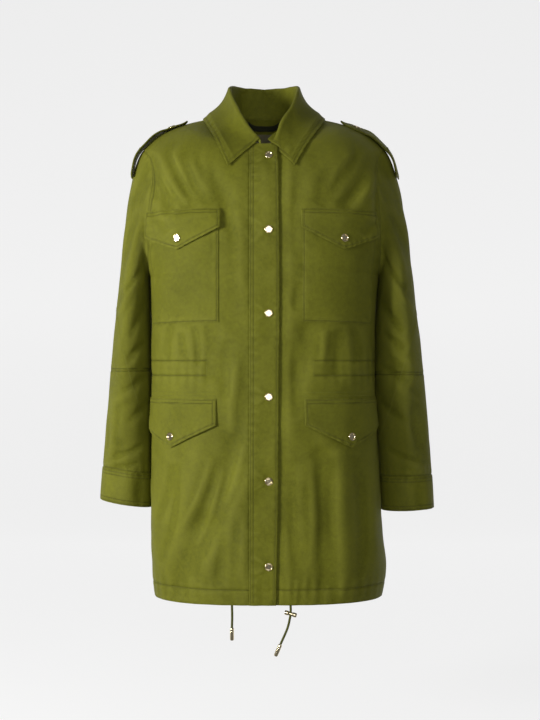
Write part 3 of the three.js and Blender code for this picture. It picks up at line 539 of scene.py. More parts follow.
        def reach_at(angle: Array) -> Array:
            """The superellipse's reach at a turn."""
            across, along = np.abs(np.sin(angle)) / wide, np.abs(np.cos(angle)) / deep
            return (across**power + along**power) ** (-1.0 / power)

        last = np.arctan2(row["out"], part.value * row["edge_y"])
        share = np.abs(turn) / last
        pull = np.hypot(row["out"], row["edge_y"]) - reach_at(last)
        reach = reach_at(turn) + pull * share**self.edge_power
        x, y = side.value * reach * np.sin(turn), part.value * reach * np.cos(turn)
        steep = 1.0 - np.cos(QUARTER * share)
        soft = (1.0 - np.cos(np.pi * np.minimum(share, 1.0))) / 2
        z = row["centre_z"] + (row["edge_z"] - row["centre_z"]) * (steep + (soft - steep) * row["soft"])
        away = lift - self.folds.depth(part.value, x, z)
        if worn:
            away = away - self.wear(side, part, turn, share, x, z)
        out = np.stack([x / wide**2, y / deep**2], -1)
        out = away[..., None] * unit(out)
        return np.stack([x + out[..., 0], y + out[..., 1], z + 0.0 * x], -1)

    def turn_at(self, side: Side, part: Part, level: Array, x: Sizes) -> Array:
        """The turn at which each level's outline passes a place across, found by halving.

        Args:
            side: which side of the coat.
            part: front or back.
            level: the levels.
            x: millimetres across, for all or for each level.

        Returns:
            The turns, in radians.
        """
        level = np.asarray(level, float)
        low, high = np.full(level.shape, -QUARTER), np.full(level.shape, QUARTER)
        for _ in range(30):
            middle = (low + high) / 2
            short = self.at(side, part, middle, level, worn=False)[..., 0] * side.value < x * side.value
            low, high = np.where(short, middle, low), np.where(short, high, middle)
        return (low + high) / 2

    def place(self, side: Side, part: Part, round_way: Array, height: Array) -> tuple[Array, Array]:
        """Turns and levels of places given by their distance round the coat and their height.

        On a chart of levels by turns the distance round is added up along each level. For each column that
        gives the turn and the height at each level, and the wanted heights are then looked up.

        Args:
            side: which side of the coat.
            part: front or back.
            round_way: a distance from the middle line for each column.
            height: the heights, rows by columns.

        Returns:
            Turn and level, rows by columns.
        """
        levels, turns = np.linspace(0.0, 2.98, 420), np.linspace(0.0, QUARTER * 0.999, 260)
        chart = self.at(side, part, turns[None, :], levels[:, None], worn=False)
        steps = np.linalg.norm(np.diff(chart[..., :2], axis=1), axis=-1)
        gone = np.concatenate([np.zeros((len(levels), 1)), np.cumsum(steps, 1)], 1)
        turn_of = np.stack([np.interp(round_way, row, turns) for row in gone])
        height_of = np.stack([np.interp(turn, turns, row) for turn, row in zip(turn_of, chart[..., 2])])
        columns = range(height.shape[1])
        level = np.stack([np.interp(height[:, i], height_of[:, i], levels) for i in columns], 1)
        turn = np.stack([np.interp(level[:, i], levels, turn_of[:, i]) for i in columns], 1)
        return turn, level


@dataclass
class Mesh:
    """Arrays for one mesh: places in millimetres, faces, and the cloth's coordinates at face corners."""

    points: Array
    faces: list[Array]
    chart: list[Array] | None = None
    marks: dict[str, Array] = field(default_factory=dict)

    @staticmethod
    def joined(meshes: list["Mesh"]) -> "Mesh":
        """One mesh of several without charts or marks."""
        points = np.concatenate([m.points for m in meshes])
        starts = np.cumsum([0, *[len(m.points) for m in meshes]])
        faces = [face + start for m, start in zip(meshes, starts) for face in m.faces]
        return Mesh(points, faces)

    def faced(self) -> "Mesh":
        """The same closed mesh with its faces outwards, by the sign of its volume."""
        volume = 0.0
        for face in self.faces:
            corner = self.points[face]
            for k in range(1, face.shape[1] - 1):
                volume += np.einsum("ij,ij->", corner[:, 0], np.cross(corner[:, k], corner[:, k + 1]))
        if volume < 0:
            self.faces = [face[:, ::-1] for face in self.faces]
            self.chart = None if self.chart is None else [part[:, ::-1] for part in self.chart]
        return self

    def put(self, name: str, look: Look, slot: str, nodes: tuple[str, ...] = ()) -> Made:
        """Makes the object, rides it on the coat and lets it stand for its solids.

        Args:
            name: the piece's name.
            look: its material.
            slot: a material slot's name; not used.
            nodes: the solids that it stands for.

        Returns:
            The new object, at the origin.
        """
        mesh = bpy.data.meshes.new(name)
        sizes = np.concatenate([np.full(len(face), face.shape[1]) for face in self.faces])
        corners = np.concatenate([face.ravel() for face in self.faces]).astype(np.int32)
        mesh.vertices.add(len(self.points))
        mesh.vertices.foreach_set("co", to_frame(self.points).astype(np.float32).ravel())
        mesh.loops.add(len(corners))
        mesh.loops.foreach_set("vertex_index", corners)
        mesh.polygons.add(len(sizes))
        mesh.polygons.foreach_set("loop_start", np.concatenate([[0], np.cumsum(sizes)[:-1]]).astype(np.int32))
        mesh.polygons.foreach_set("loop_total", sizes.astype(np.int32))
        mesh.polygons.foreach_set("use_smooth", np.ones(len(sizes), bool))
        mesh.update(calc_edges=True)
        if self.chart is not None:
            layer = mesh.uv_layers.new(name="cloth")
            uv = np.concatenate([part.reshape(-1, 2) for part in self.chart]) * MM
            layer.data.foreach_set("uv", uv.astype(np.float32).ravel())
        for mark, values in self.marks.items():
            attribute = mesh.attributes.new(mark, "FLOAT", "POINT")
            attribute.data.foreach_set("value", values.astype(np.float32).ravel())
        mesh.validate()
        mesh.materials.append(look)
        made = bpy.data.objects.new(name, mesh)
        bpy.context.scene.collection.objects.link(made)
        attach(made, BODY)
        if nodes:
            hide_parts(*nodes)
        log.info("%s: %d faces", name, len(sizes))
        return made


@dataclass
class Panel:
    """A cut piece of cloth: a grid of places on its outside, rows up and columns across."""

    name: str
    grid: Array
    wall: float
    core: Array | None = None
    tube: bool = False
    dip: float = 0.35
    seams: tuple[tuple[Edge, float], ...] = ()
    groove_depth: float = 0.42
    # Where the stitch grooves lie; the material paints shade there, darkening the cloth in each groove.
    seam: Array = field(init=False)
    outs: Array = field(init=False)
    across: Array = field(init=False)
    up: Array = field(init=False)

    def __post_init__(self) -> None:
        """Works out the ways out, away from the upright axis or the given core, and the distances."""
        if self.core is None:
            self.core = self.grid * [0, 0, 1]
        self.measure()
        self.seam = np.zeros(self.grid.shape[:2])
        if self.dip:
            self.sink_edges()
            self.measure()
        for edge, away in self.seams:
            from_edge, other = self.off(edge)
            self.groove(from_edge - away, rise(0.4 * away, 0.8 * away, other) if len(self.seams) > 1 else 1.0)

    def off(self, edge: Edge) -> tuple[Array, Array]:
        """Distances from one edge, and from the nearer one of the edges that meet it."""
        count = self.grid.shape[1]
        up, across = self.up[:, :count], self.across[:, :count]
        length, width = up[-1:], self.across[:, -1:]
        along_row, last = edge.value
        gone, total = (up, length) if along_row else (across, width)
        other = np.minimum(across, width - across) if along_row else np.minimum(up, length - up)
        return (total - gone if last else gone), (np.full_like(other, 99.0) if self.tube else other)

    def groove(self, away: Array, weight: Sizes = 1.0) -> None:
        """Presses the narrow groove of a row of stitches: a bell of half-width 0.9 mm across the row.

        Args:
            away: distances from the row.
            weight: how much of it there is at each place.
        """
        depth = weight * bell(away, 0.9)
        self.grid = self.grid - self.outs * (self.groove_depth * depth)[..., None]
        # Marks the groove for the material, which darkens it as painted shade.
        self.seam = np.maximum(self.seam, weight * bell(away, 0.75))
        self.measure()

    def measure(self) -> None:
        """Ways out are the cross product of the grid's two directions, turned away from the core."""
        grid = np.concatenate([self.grid[:, -1:], self.grid, self.grid[:, :1]], 1) if self.tube else self.grid
        along = np.gradient(grid, axis=1)
        along = along[:, 1:-1] if self.tube else along
        outs = unit(np.cross(along, np.gradient(self.grid, axis=0)))
        vote = np.sum(outs * (self.grid - self.core))
        self.outs = outs if vote > 0 else -outs
        wrapped = np.concatenate([self.grid, self.grid[:, :1]], 1) if self.tube else self.grid
        steps = np.linalg.norm(np.diff(wrapped, axis=1), axis=-1)
        self.across = np.concatenate([np.zeros((len(steps), 1)), np.cumsum(steps, 1)], 1)
        rises = np.linalg.norm(np.diff(wrapped, axis=0), axis=-1)
        self.up = np.concatenate([np.zeros((1, rises.shape[1])), np.cumsum(rises, 0)], 0)

    def to_edge(self) -> Array:
        """The distance from each place to the nearest cut edge, in millimetres."""
        count = self.grid.shape[1]
        up = self.up[:, :count]
        near = np.minimum(up, up[-1:] - up)
        if not self.tube:
            near = np.minimum(near, np.minimum(self.across, self.across[:, -1:] - self.across))
        return near

    def sink_edges(self) -> None:
        """Draws the cloth in beside its edges, as a turned and stitched edge lies."""
        self.grid = self.grid - self.outs * (self.dip * bell(self.to_edge(), 3.0))[..., None]

    def relief(self) -> Array:
        """How far each place stands out of its surroundings, from -1 in a trough to 1 on a ridge.

        It is the distance, along the way out, from the mean of four places a few steps off.
        """
        step = 3
        padded = np.pad(self.grid, ((step, step), (step, step), (0, 0)), "edge")
        rows, columns = self.grid.shape[:2]
        around = (
            padded[step : step + rows, : columns]
            + padded[step : step + rows, 2 * step :]
            + padded[:rows, step : step + columns]
            + padded[2 * step :, step : step + columns]
        ) / 4
        stands = np.sum((self.grid - around) * self.outs, -1)
        if not self.tube:
            stands[:, :step] = stands[:, -step:] = 0
        stands[:step] = stands[-step:] = 0
        return np.tanh(stands / 0.5)

    def mesh(self) -> Mesh:
        """A closed wall: the grid, the grid moved in by the wall, and a rim with its corners taken off."""
        rows, columns = self.grid.shape[:2]
        near = self.to_edge()
        round_off = (0.3 * self.wall * (near < 1e-6))[..., None]
        outer = self.grid - self.outs * round_off
        inner = self.grid - self.outs * (self.wall - round_off)
        points = np.concatenate([outer.reshape(-1, 3), inner.reshape(-1, 3)])
        wide = columns + 1 if self.tube else columns
        index = np.arange(rows)[:, None] * columns + np.arange(wide)[None, :] % columns
        chart = np.stack([self.across - self.across.mean(), self.up], -1)
        inside = rows * columns

        def cells(values: Array, turned: bool) -> Array:
            """The four corners of each cell of a grid, in order or in turned order."""
            a, b, c, d = values[:-1, :-1], values[:-1, 1:], values[1:, 1:], values[1:, :-1]
            corners = (a, d, c, b) if turned else (a, b, c, d)
            return np.stack([corner.reshape(-1, *values.shape[2:]) for corner in corners], 1)

        faces = [cells(index, False), cells(index + inside, True)]
        charts = [cells(chart, False), cells(chart, True)]
        borders = [(slice(0, 1), slice(None), True), (slice(rows - 1, rows), slice(None), False)]
        if not self.tube:
            borders += [(slice(None), slice(0, 1), False), (slice(None), slice(wide - 1, wide), True)]
        for j, i, turned in borders:
            line = index[j, i].reshape(-1)
            place = chart[j, i].reshape(-1, 2)
            rim = np.stack([line, line + inside])
            faces.append(cells(rim, not turned))
            charts.append(cells(np.stack([place, place]), not turned))
        near_mark = np.exp(-near / 4.0).ravel()
        relief = self.relief().ravel()
        # Marks for the material: edge for wear at cut edges, relief for ridges paler by wear and painted
        # highlight, seam for painted shade in stitch grooves.
        marks = {
            "edge": np.concatenate([near_mark, near_mark]),
            "relief": np.concatenate([relief, 0 * relief]),
            "seam": np.concatenate([self.seam.ravel(), 0 * relief]),
        }
        return Mesh(points, faces, charts, marks).faced()

    def flat(self) -> tuple[float, float, float]:
        """The cut's width, length and area before it was sewn, in metres."""
        cells = np.cross(self.grid[1:, 1:] - self.grid[:-1, :-1], self.grid[:-1, 1:] - self.grid[1:, :-1])
        area = np.linalg.norm(cells, axis=-1).sum() / 2
        if self.tube:
            area *= self.grid.shape[1] / (self.grid.shape[1] - 1)
        width, length = self.across[:, -1].max(), self.up[-1].max()
        return width * MM, length * MM, min(area, width * length) * MM * MM

    def sew(self, look: Look, nodes: tuple[str, ...], rests_on: tuple[str, ...] = (),
            slot: str = "cloth", held: str = "hung") -> Made:
        """Args:
            look: its material.
            nodes: the solids that it stands for.
            rests_on: what it lies on; not used.
            slot: a material slot's name; not used.
            held: how the sheet is held; not used.

        Returns:
            The new object.
        """
        made = self.mesh().put(self.name, look, slot, nodes)
        width, length, area = self.flat()
        return made

    def at(self, rows: Array, columns: Array) -> tuple[Array, Array]:
        """Places and ways out between the grid's points, each the blend of the four round it."""
        count = self.grid.shape[1]
        j = np.clip(np.floor(rows).astype(int), 0, self.grid.shape[0] - 2)
        i = np.floor(columns).astype(int)
        i = i % count if self.tube else np.clip(i, 0, count - 2)
        v = (rows - j)[:, None]
        u = (columns - (np.floor(columns) if self.tube else i))[:, None]
        k = (i + 1) % count

        def blend(values: Array) -> Array:
            """The blend of a grid of vectors."""
            low = values[j, i] * (1 - u) + values[j, k] * u
            return low * (1 - v) + (values[j + 1, i] * (1 - u) + values[j + 1, k] * u) * v

        return blend(self.grid), unit(blend(self.outs))

    def line(self, edge: Edge, away: float, trim: float = 0.0) -> tuple[Array, Array]:
        """A line inside one edge and along it, for a row of stitches.

        Args:
            edge: the edge that it follows.
            away: how far inside it lies, in millimetres.
            trim: how far it stops short of the edges at its ends.

        Returns:
            Places and ways out along the line.
        """
        along_row, last = edge.value
        count = self.grid.shape[1]
        gone = self.up[:, :count].T if along_row else self.across
        total = gone[:, -1:]
        way = total - away if last else np.full_like(total, away)
        steps = np.arange(gone.shape[1])
        found = np.array([np.interp(w[0], row, steps) for w, row in zip(way, gone)])
        lead = np.arange(len(found), dtype=float)
        if trim:
            other = self.across[len(self.across) // 2, :count] if along_row else self.up[:, count // 2]
            keep = (other >= trim) & (other <= other[-1] - trim)
            found, lead = found[keep], lead[keep]
        if along_row and self.tube:
            found, lead = np.append(found, found[0]), np.append(lead, count)
        return self.at(found, lead) if along_row else self.at(lead, found)


@dataclass
class Cloud:
    """Places on finished cloth with their ways out, for laying other pieces clear of it."""

    points: Array
    outs: Array

    @staticmethod
    def of(panels: list[Panel], step: int = 2, above: float = -1000.0) -> "Cloud":
        """A cloud of every step-th place of some panels above a height."""
        points = np.concatenate([p.grid[::step, ::step].reshape(-1, 3) for p in panels])
        outs = np.concatenate([p.outs[::step, ::step].reshape(-1, 3) for p in panels])
        keep = points[:, 2] > above
        return Cloud(points[keep], outs[keep])

    def standing(self, places: Array) -> tuple[Array, Array]:
        """How far places stand off the plane of the nearest place of the cloud, and the way out there.

        Args:
            places: any number of places, X, Y and Z on the last axis.

        Returns:
            The distances and the ways out, in the shape of places.
        """
        flat = places.reshape(-1, 3)
        square = np.sum(self.points**2, 1)
        parts = np.array_split(flat, len(flat) // 400 + 1)
        near = np.concatenate([np.argmin(square - 2.0 * part @ self.points.T, 1) for part in parts])
        outs = self.outs[near]
        stands = np.sum((flat - self.points[near]) * outs, -1)
        return stands.reshape(places.shape[:-1]), outs.reshape(places.shape)

    def clear(self, places: Array, gap: float) -> Array:
        """Places moved out where they stand less than a gap off the cloth."""
        stands, outs = self.standing(places)
        return places + outs * np.maximum(gap - stands, 0.0)[..., None]

    def laid(self, grid: Array, gap: float) -> Array:
        """A grid laid over the cloth: moved clear, each move shared with its neighbours, cleared again."""
        moved = self.clear(grid, gap) - grid
        for _ in range(60):
            moved[1:-1] += (moved[:-2] + moved[2:] - 2 * moved[1:-1]) / 4
            moved[:, 1:-1] += (moved[:, :-2] + moved[:, 2:] - 2 * moved[:, 1:-1]) / 4
        return self.clear(grid + moved, gap - 1.2)


@dataclass
class Sewing:
    """Rows of stitches, each stitch a short spindle of thread lying on the cloth."""

    length: float = 2.5
    pitch: float = 3.3
    thick: float = 0.42
    rows: dict[str, list[Mesh]] = field(default_factory=dict)

    def row(self, group: str, line: tuple[Array, Array]) -> None:
        """Adds a row of stitches along a line.

        A spindle has three rings of four sides. It is carried to each stitch by the row's own directions:
        along it, out of the cloth, and across.

        Args:
            group: which joined piece it goes to.
            line: places and ways out.
        """
        points, outs = line
        gone = distances(points)
        count = int(gone[-1] / self.pitch)
        if count < 2:
            return
        middles = (np.arange(count) + 0.5) * gone[-1] / count
        ends = [middles - self.length / 2, middles, middles + self.length / 2]
        low, mid, high = (np.stack([np.interp(e, gone, points[:, k]) for k in range(3)], 1) for e in ends)
        out = unit(np.stack([np.interp(middles, gone, outs[:, k]) for k in range(3)], 1))
        along = unit(high - low)
        side = unit(np.cross(along, out))
        turns = np.arange(4) * QUARTER
        sizes = [0.45, 1.0, 0.45]
        rings = [
            centre[:, None] + self.thick * size * (
                np.cos(turns)[None, :, None] * side[:, None] + np.sin(turns)[None, :, None] * out[:, None]
            ) + out[:, None] * self.thick * (0.1 if size < 1 else 0.45)
            for centre, size in zip((low, mid, high), sizes)
        ]
        tips = [low - along * 0.2 - out * 0.3, high + along * 0.2 - out * 0.3]
        points = np.concatenate([np.concatenate(rings, 1), np.stack(tips, 1)], 1)
        start = np.arange(count)[:, None] * 14
        k, n = np.arange(4), (np.arange(4) + 1) % 4
        sides = [np.stack([k + r, n + r, n + r + 4, k + r + 4], 1) for r in (0, 4)]
        quads = np.concatenate(sides)
        caps = np.concatenate([np.stack([n, k, 0 * k + 12], 1), np.stack([k + 8, n + 8, 0 * k + 13], 1)])
        faces = [(start[:, :, None] + part[None]).reshape(-1, part.shape[1]) for part in (quads, caps)]
        self.rows.setdefault(group, []).append(Mesh(points.reshape(-1, 3), faces).faced())

    def along(self, group: str, panel: Panel) -> None:
        """Adds a row of stitches in each of a panel's seams."""
        for edge, away in panel.seams:
            self.row(group, panel.line(edge, away, 0.0 if panel.tube else away * 0.8))

    def put(self, look: Look) -> None:
        """Puts each group's rows into the scene as one piece."""
        for group, meshes in self.rows.items():
            Mesh.joined(meshes).put(f"stitching_{group}", look, "cloth")


@dataclass
class Trunk:
    """The fronts, the back and the band that closes the fronts."""

    form: BodyForm
    look: Look
    wall: float = 1.6
    band_wall: float = 2.0
    band_left: float = -23.6
    band_top: float = 2.955
    underlap_edge: float = 12.0
    underlap_drop: float = 2.8
    underlap_neck_drop: float = 1.6
    underlap_ramp: float = 18.0
    columns: int = 80
    back_columns: int = 128
    welts: tuple[float, ...] = (336.0, 342.0)
    band_edge: Table = Table(
        "height x", ((0, 20.0), (60, 21.0), (150, 23.2), (300, 24), (540, 25.6), (700, 23.6), (750, 22))
    )
    snap_heights: tuple[float, ...] = (63, 200, 335, 469, 603, 726)
    snap_x: float = 8.0
    panels: dict[str, Panel] = field(default_factory=dict)

    def levels(self, top: float = 3.0) -> Array:
        """Levels from the hem to the neck, closer at the hem and at rows of stitches."""
        waist, half, hem = self.form.waist, self.form.waist_half, self.form.hem_band
        low = knots(self.form.underarm, 204, (hem, waist - half, waist + half, *self.welts))[:-2]
        return np.concatenate([low, np.linspace(1.0, 2.0, 62)[:-1], 2.0 + shares(36) * (top - 2.0)])

    def eased(self, grid: Array, level: Array, share: Array) -> Array:
        """The grid with the bend at the shoulder point's level smoothed away, except at the armhole.

        Each place near that level is moved towards the mean of its neighbours up and down, over and over.
        """
        weight = (rise(1.62, 1.85, level) * rise(2.5, 2.25, level))[:, None] * (1.0 - np.abs(share) ** 10)
        for _ in range(60):
            mean = (grid[:-2] + grid[2:]) / 2
            grid[1:-1] += (mean - grid[1:-1]) * 0.5 * weight[1:-1, :, None]
        return grid

    def front(self, side: Side) -> Panel:
        """One front: its free edge at the band, then round to the side seam, the armhole and the shoulder.

        The wearer's left front drops behind the band by a smooth ramp, deeper near the neck.
        """
        level = self.levels()
        edge = self.band_left - self.form.seam_gap if side is Side.RIGHT else self.underlap_edge
        first = self.form.turn_at(side, Part.FRONT, level, edge)
        last = self.form.edge_turn(side, Part.FRONT, level)
        share = knots(190.0, self.columns, (-3.0, -8.5))[None, :]
        turn = first[:, None] + (last - first)[:, None] * share
        grid = self.eased(self.form.at(side, Part.FRONT, turn, level[:, None]), level, share)
        if side is Side.LEFT:
            x, z = grid[..., 0], grid[..., 2]
            edge_x = self.band_edge.read("x", z) + 2.0
            drop = self.underlap_drop + self.underlap_neck_drop * rise(640.0, 752.0, z)
            grid[..., 1] += drop * (1.0 - rise(0.0, self.underlap_ramp, x - edge_x))
        return self.seamed(Panel(f"front_{side.word}_cloth", grid, self.wall), (Edge.END,))

    def back(self) -> Panel:
        """The back in one piece, from one side seam to the other."""
        level = self.levels()
        share = knots(210.0, self.back_columns // 2, (-3.0, -8.5))[None, :]
        share = np.delete(share, 1, 1)
        halves = []
        for side in (Side.RIGHT, Side.LEFT):
            last = self.form.edge_turn(side, Part.BACK, level)
            half = self.form.at(side, Part.BACK, last[:, None] * share, level[:, None])
            halves.append(self.eased(half, level, share))
        grid = np.concatenate([halves[0][:, ::-1], halves[1][:, 1:]], 1)
        return self.seamed(Panel("back_cloth", grid, self.wall), (Edge.START, Edge.END))

    def seamed(self, panel: Panel, armholes: tuple[Edge, ...]) -> Panel:
        """Presses the rows of the hem, the waist casing and the armholes into a panel.

        Args:
            panel: a front or the back.
            armholes: its edges at the armholes.

        Returns:
            The same panel.
        """
        z, x = panel.grid[..., 2].copy(), panel.grid[..., 0].copy()
        panel.groove(panel.off(Edge.FOOT)[0] - self.form.hem_band)
        inner = 0.0 if len(armholes) == 2 else 92.0 if x.mean() < 0 else 80.0
        for height in (self.form.waist - self.form.waist_half, self.form.waist + self.form.waist_half):
            panel.groove(z - height, (np.abs(x) >= inner).astype(float))
        for edge in armholes:
            for away in (3.0, 8.5):
                panel.groove(panel.off(edge)[0] - away, rise(540.0, 556.0, z))
        return panel

    def band(self) -> Panel:
        """The front band: a strip level with the right front, drawn at each snap and easy between them."""
        level = self.levels(self.band_top)
        columns = knots(47.6, 18, (2.4, 7.0, -4.0))
        height = self.form.at(Side.LEFT, Part.FRONT, 0.0 * level, level, worn=False)[:, 2]
        right = self.band_edge.read("x", height)
        first = self.form.turn_at(Side.LEFT, Part.FRONT, level, self.band_left)
        last = self.form.turn_at(Side.LEFT, Part.FRONT, level, right)
        turn = first[:, None] + (last - first)[:, None] * columns[None, :]
        grid = self.form.at(Side.LEFT, Part.FRONT, turn, level[:, None])
        x, z = grid[..., 0], grid[..., 2]
        lift = 0.9 + 0.5 * np.sqrt(np.maximum(np.sin(np.pi * columns), 0.0))[None, :] * np.ones_like(x)
        for snap in self.snap_heights:
            away = np.hypot(x - self.snap_x, z - snap)
            lift -= 1.3 * bell(away, 10.0)
            for slope, size in ((0.55, 0.8), (-0.7, 0.7), (0.1, 0.5)):
                line = (z - snap) - slope * (x - self.snap_x)
                ridge = size * bell(line, 3.2) * rise(4.0, 12.0, away)
                lift += ridge * (1 - rise(16.0, 34.0, away))
        lift += 0.55 * pucker(np.abs(x - self.band_left - 7.0), z, 9.0, 17.0, 31)
        lift += 0.5 * pucker(np.abs(x - right[:, None]), z, 7.0, 15.0, 32)
        grid[..., 1] -= lift
        rows = ((Edge.START, 2.4), (Edge.START, 7.0), (Edge.END, 4.0))
        return Panel("front_band_cloth", grid, self.band_wall, seams=rows)

    def build(self, sewing: Sewing) -> None:
        """Makes the four pieces and their rows of stitches."""
        self.panels = {side.word: self.front(side) for side in Side}
        self.panels["back"], self.panels["band"] = self.back(), self.band()
        nodes = {"right": "front_right", "left": "front_left", "back": "back", "band": "front_band"}
        for key, panel in self.panels.items():
            panel.sew(self.look, (nodes[key],))
        for key in ("right", "left", "back"):
            panel = self.panels[key]
            sewing.row("hem", panel.line(Edge.FOOT, self.form.hem_band, 3.0))
            for edge in (Edge.START, Edge.END) if key == "back" else (Edge.END,):
                for away in (3.0, 8.5):
                    points, outs = panel.line(edge, away)
                    keep = points[:, 2] > 548.0
                    sewing.row("armholes", (points[keep], outs[keep]))
        sewing.along("band", self.panels["band"])
        for side in Side:
            self.casing_rows(side, sewing)
            self.welt_rows(side, sewing)

    def along(self, side: Side, part: Part, turn: Array, level: Array) -> tuple[Array, Array]:
        """Places and ways out on the body along a line of turns and levels."""
        nudge = 0.004
        here = self.form.at(side, part, turn, level)
        across = self.form.at(side, part, turn + nudge, level) - self.form.at(side, part, turn - nudge, level)
        up = self.form.at(side, part, turn, level + nudge) - self.form.at(side, part, turn, level - nudge)
        return here, unit(np.cross(across, up) * -part.value * side.value)

    def casing_rows(self, side: Side, sewing: Sewing) -> None:
        """The rows that hold the waist casing, part of the way round each front and all across the back."""
        for part, inner in ((Part.FRONT, 92.0 if side is Side.RIGHT else 80.0), (Part.BACK, 0.0)):
            for height in (self.form.waist - self.form.waist_half, self.form.waist + self.form.waist_half):
                level = np.full(240, height / self.form.underarm)
                first = self.form.turn_at(side, part, level[:1], side.value * max(inner, 0.1))[0]
                sewing.row("waist", self.along(side, part, np.linspace(first, QUARTER - 0.02, 240), level))
            if inner:
                heights = np.linspace(-1, 1, 20) * self.form.waist_half + self.form.waist
                level = heights / self.form.underarm
                turn = self.form.turn_at(side, part, level, side.value * inner)
                sewing.row("waist", self.along(side, part, turn, level))

    def welt_rows(self, side: Side, sewing: Sewing) -> None:
        """The row above each hip pocket that holds its flap."""
        inner, wide = (77.0, 160.0) if side is Side.RIGHT else (65.0, 160.0)
        round_way = np.linspace(inner, inner + wide, 120)
        for height in self.welts:
            turn, level = self.form.place(side, Part.FRONT, round_way, np.full((1, 120), height))
            sewing.row("waist", self.along(side, Part.FRONT, turn[0], level[0]))


@dataclass
class Sleeves:
    """Both sleeves and cuffs: a head on a curve out of the armhole, then sections down to the cuff."""

    form: BodyForm
    look: Look
    wall: float = 1.6
    cuff_wall: float = 2.2
    cuff_out: float = 1.2
    tuck: float = 1.0
    around: int = 108
    head_rows: int = 48
    arm_rows: int = 126
    cuff_rows: int = 24
    radius: float = 48.0
    start_out: float = 0.65
    start_back: float = 0.76
    start_fall: float = 0.72
    start_lift: float = 0.12
    head_pull: tuple[float, float, float] = (120, 60, 18)
    foot_pull: tuple[float, float, float] = (300, 150, 26)
    sections: dict[Side, Table] = field(
        default_factory=lambda: {
            Side.RIGHT: Table(
                "height inner outer front back raise",
                (
                    (150, 192.8, 280, -25, 66, 7),
                    (206, 191.6, 276, -28, 68, 6),
                    (241, 191.4, 274, -31, 71, 5),
                    (326, 191.4, 266, -40, 78, 5),
                    (411, 191.6, 258, -50, 84, 4),
                    (512, 193, 247, -60, 80, 3),
                ),
            ),
            Side.LEFT: Table(
                "height inner outer front back raise",
                (
                    (140, 201.4, 290, -25, 66, 2),
                    (197, 197.4, 287, -28, 68, 1),
                    (241, 194.6, 284, -31, 71, 2),
                    (326, 188.4, 277, -40, 78, 3),
                    (411, 187.0, 268, -50, 84, 3),
                    (512, 191.8, 255, -60, 80, 2),
                ),
            ),
        }
    )
    dents: Rows = (
        (-1, 110, 250, 205, 20, 4),
        (-1, 75, 470, 380, 24, 3),
        (1, 80, 455, 385, 24, 5),
        (1, 120, 330, 250, 22, 4),
        (-1, 250, 420, 330, 26, 4),
        (1, 255, 430, 335, 26, 4),
    )
    creases: Folds = Folds({
        -1: (
            (40, 560, 96, 510, 9, 2.6, 6), (60, 530, 120, 470, 8, -1.8, 6), (30, 500, 80, 430, 9, 2.4, 5),
            (96, 640, 110, 520, 12, 2.4, -6), (130, 660, 128, 560, 10, -1.8, 4),
            (34, 430, 84, 396, 8, 2.6, 4), (46, 396, 110, 372, 8, -2.0, 4), (30, 372, 92, 344, 9, 3.0, 5),
            (60, 344, 120, 320, 8, -1.8, 4), (24, 330, 80, 290, 9, 2.4, 4), (96, 330, 104, 250, 10, 1.8, 4),
            (40, 252, 104, 232, 7, 2.8, 4), (60, 236, 120, 218, 6, -2.2, 3), (50, 222, 100, 212, 5, 2.0, 2),
            (128, 300, 122, 222, 8, 1.6, 4), (200, 520, 252, 470, 10, 2.8, 6),
            (190, 430, 260, 392, 9, 3.0, 6), (184, 390, 254, 356, 9, -2.2, 6),
            (190, 350, 250, 322, 9, 2.6, 5), (170, 640, 196, 540, 11, 2.2, 6),
            (184, 250, 240, 228, 8, 2.2, 4),
        ),
        1: (
            (42, 566, 98, 512, 9, 3.0, 6), (60, 530, 118, 476, 8, -2.0, 6), (30, 500, 86, 440, 9, 3.0, 6),
            (96, 640, 112, 520, 12, 2.6, -6), (132, 660, 130, 560, 10, -1.8, 4),
            (36, 446, 90, 414, 8, 2.8, 4), (50, 414, 112, 384, 8, -2.0, 4), (30, 390, 96, 360, 9, 3.0, 5),
            (60, 352, 124, 326, 8, -2.0, 4), (28, 330, 84, 292, 9, 2.6, 4), (92, 320, 104, 244, 10, 2.2, 4),
            (128, 310, 124, 222, 8, -1.6, 4), (40, 246, 100, 226, 7, 2.4, 4),
            (64, 230, 116, 212, 6, -1.8, 3), (196, 520, 250, 466, 10, 2.8, 6),
            (190, 436, 262, 398, 9, 3.0, 6), (186, 396, 254, 362, 9, -2.2, 6),
            (190, 352, 250, 324, 9, 2.6, 5), (170, 640, 196, 540, 11, 2.2, 6),
            (184, 246, 240, 222, 8, 2.2, 4),
        ),
    })
    elbows: dict[Side, float] = field(default_factory=lambda: {Side.RIGHT: 377.0, Side.LEFT: 371.0})
    panels: dict[str, Panel] = field(default_factory=dict)

    def section(self, side: Side, height: Array, turn: Array, out: float = 0.0) -> Array:
        """Places on the sleeve's oval section at a height: an ellipse with dents, its outside raised.

        Args:
            side: which sleeve.
            height: heights.
            turn: turns round the sleeve, 0 towards the body and a quarter in front.
            out: how much larger the section is, as for a cuff.

        Returns:
            Millimetres, X, Y and Z on the last axis.
        """
        table = self.sections[side]
        inner, outer, front, back, lift = (table.read(c, height) for c in table.names.split()[1:])
        depth = 0.0
        for on, at, top, foot, half, deep in self.dents:
            if on == side.value:
                wide = np.abs(np.degrees(turn) - at) / half
                long = np.maximum(np.abs(height - (top + foot) / 2) - (top - foot) / 2, 0.0) / half
                depth = depth + deep * np.exp(-(wide**2) - long**2)
        x = (inner + outer) / 2 - ((outer - inner) / 2 + out - depth) * np.cos(turn)
        y = (front + back) / 2 - ((back - front) / 2 + out - depth) * np.sin(turn)
        return np.stack([side.value * x, y, height - lift * np.cos(turn)], -1)

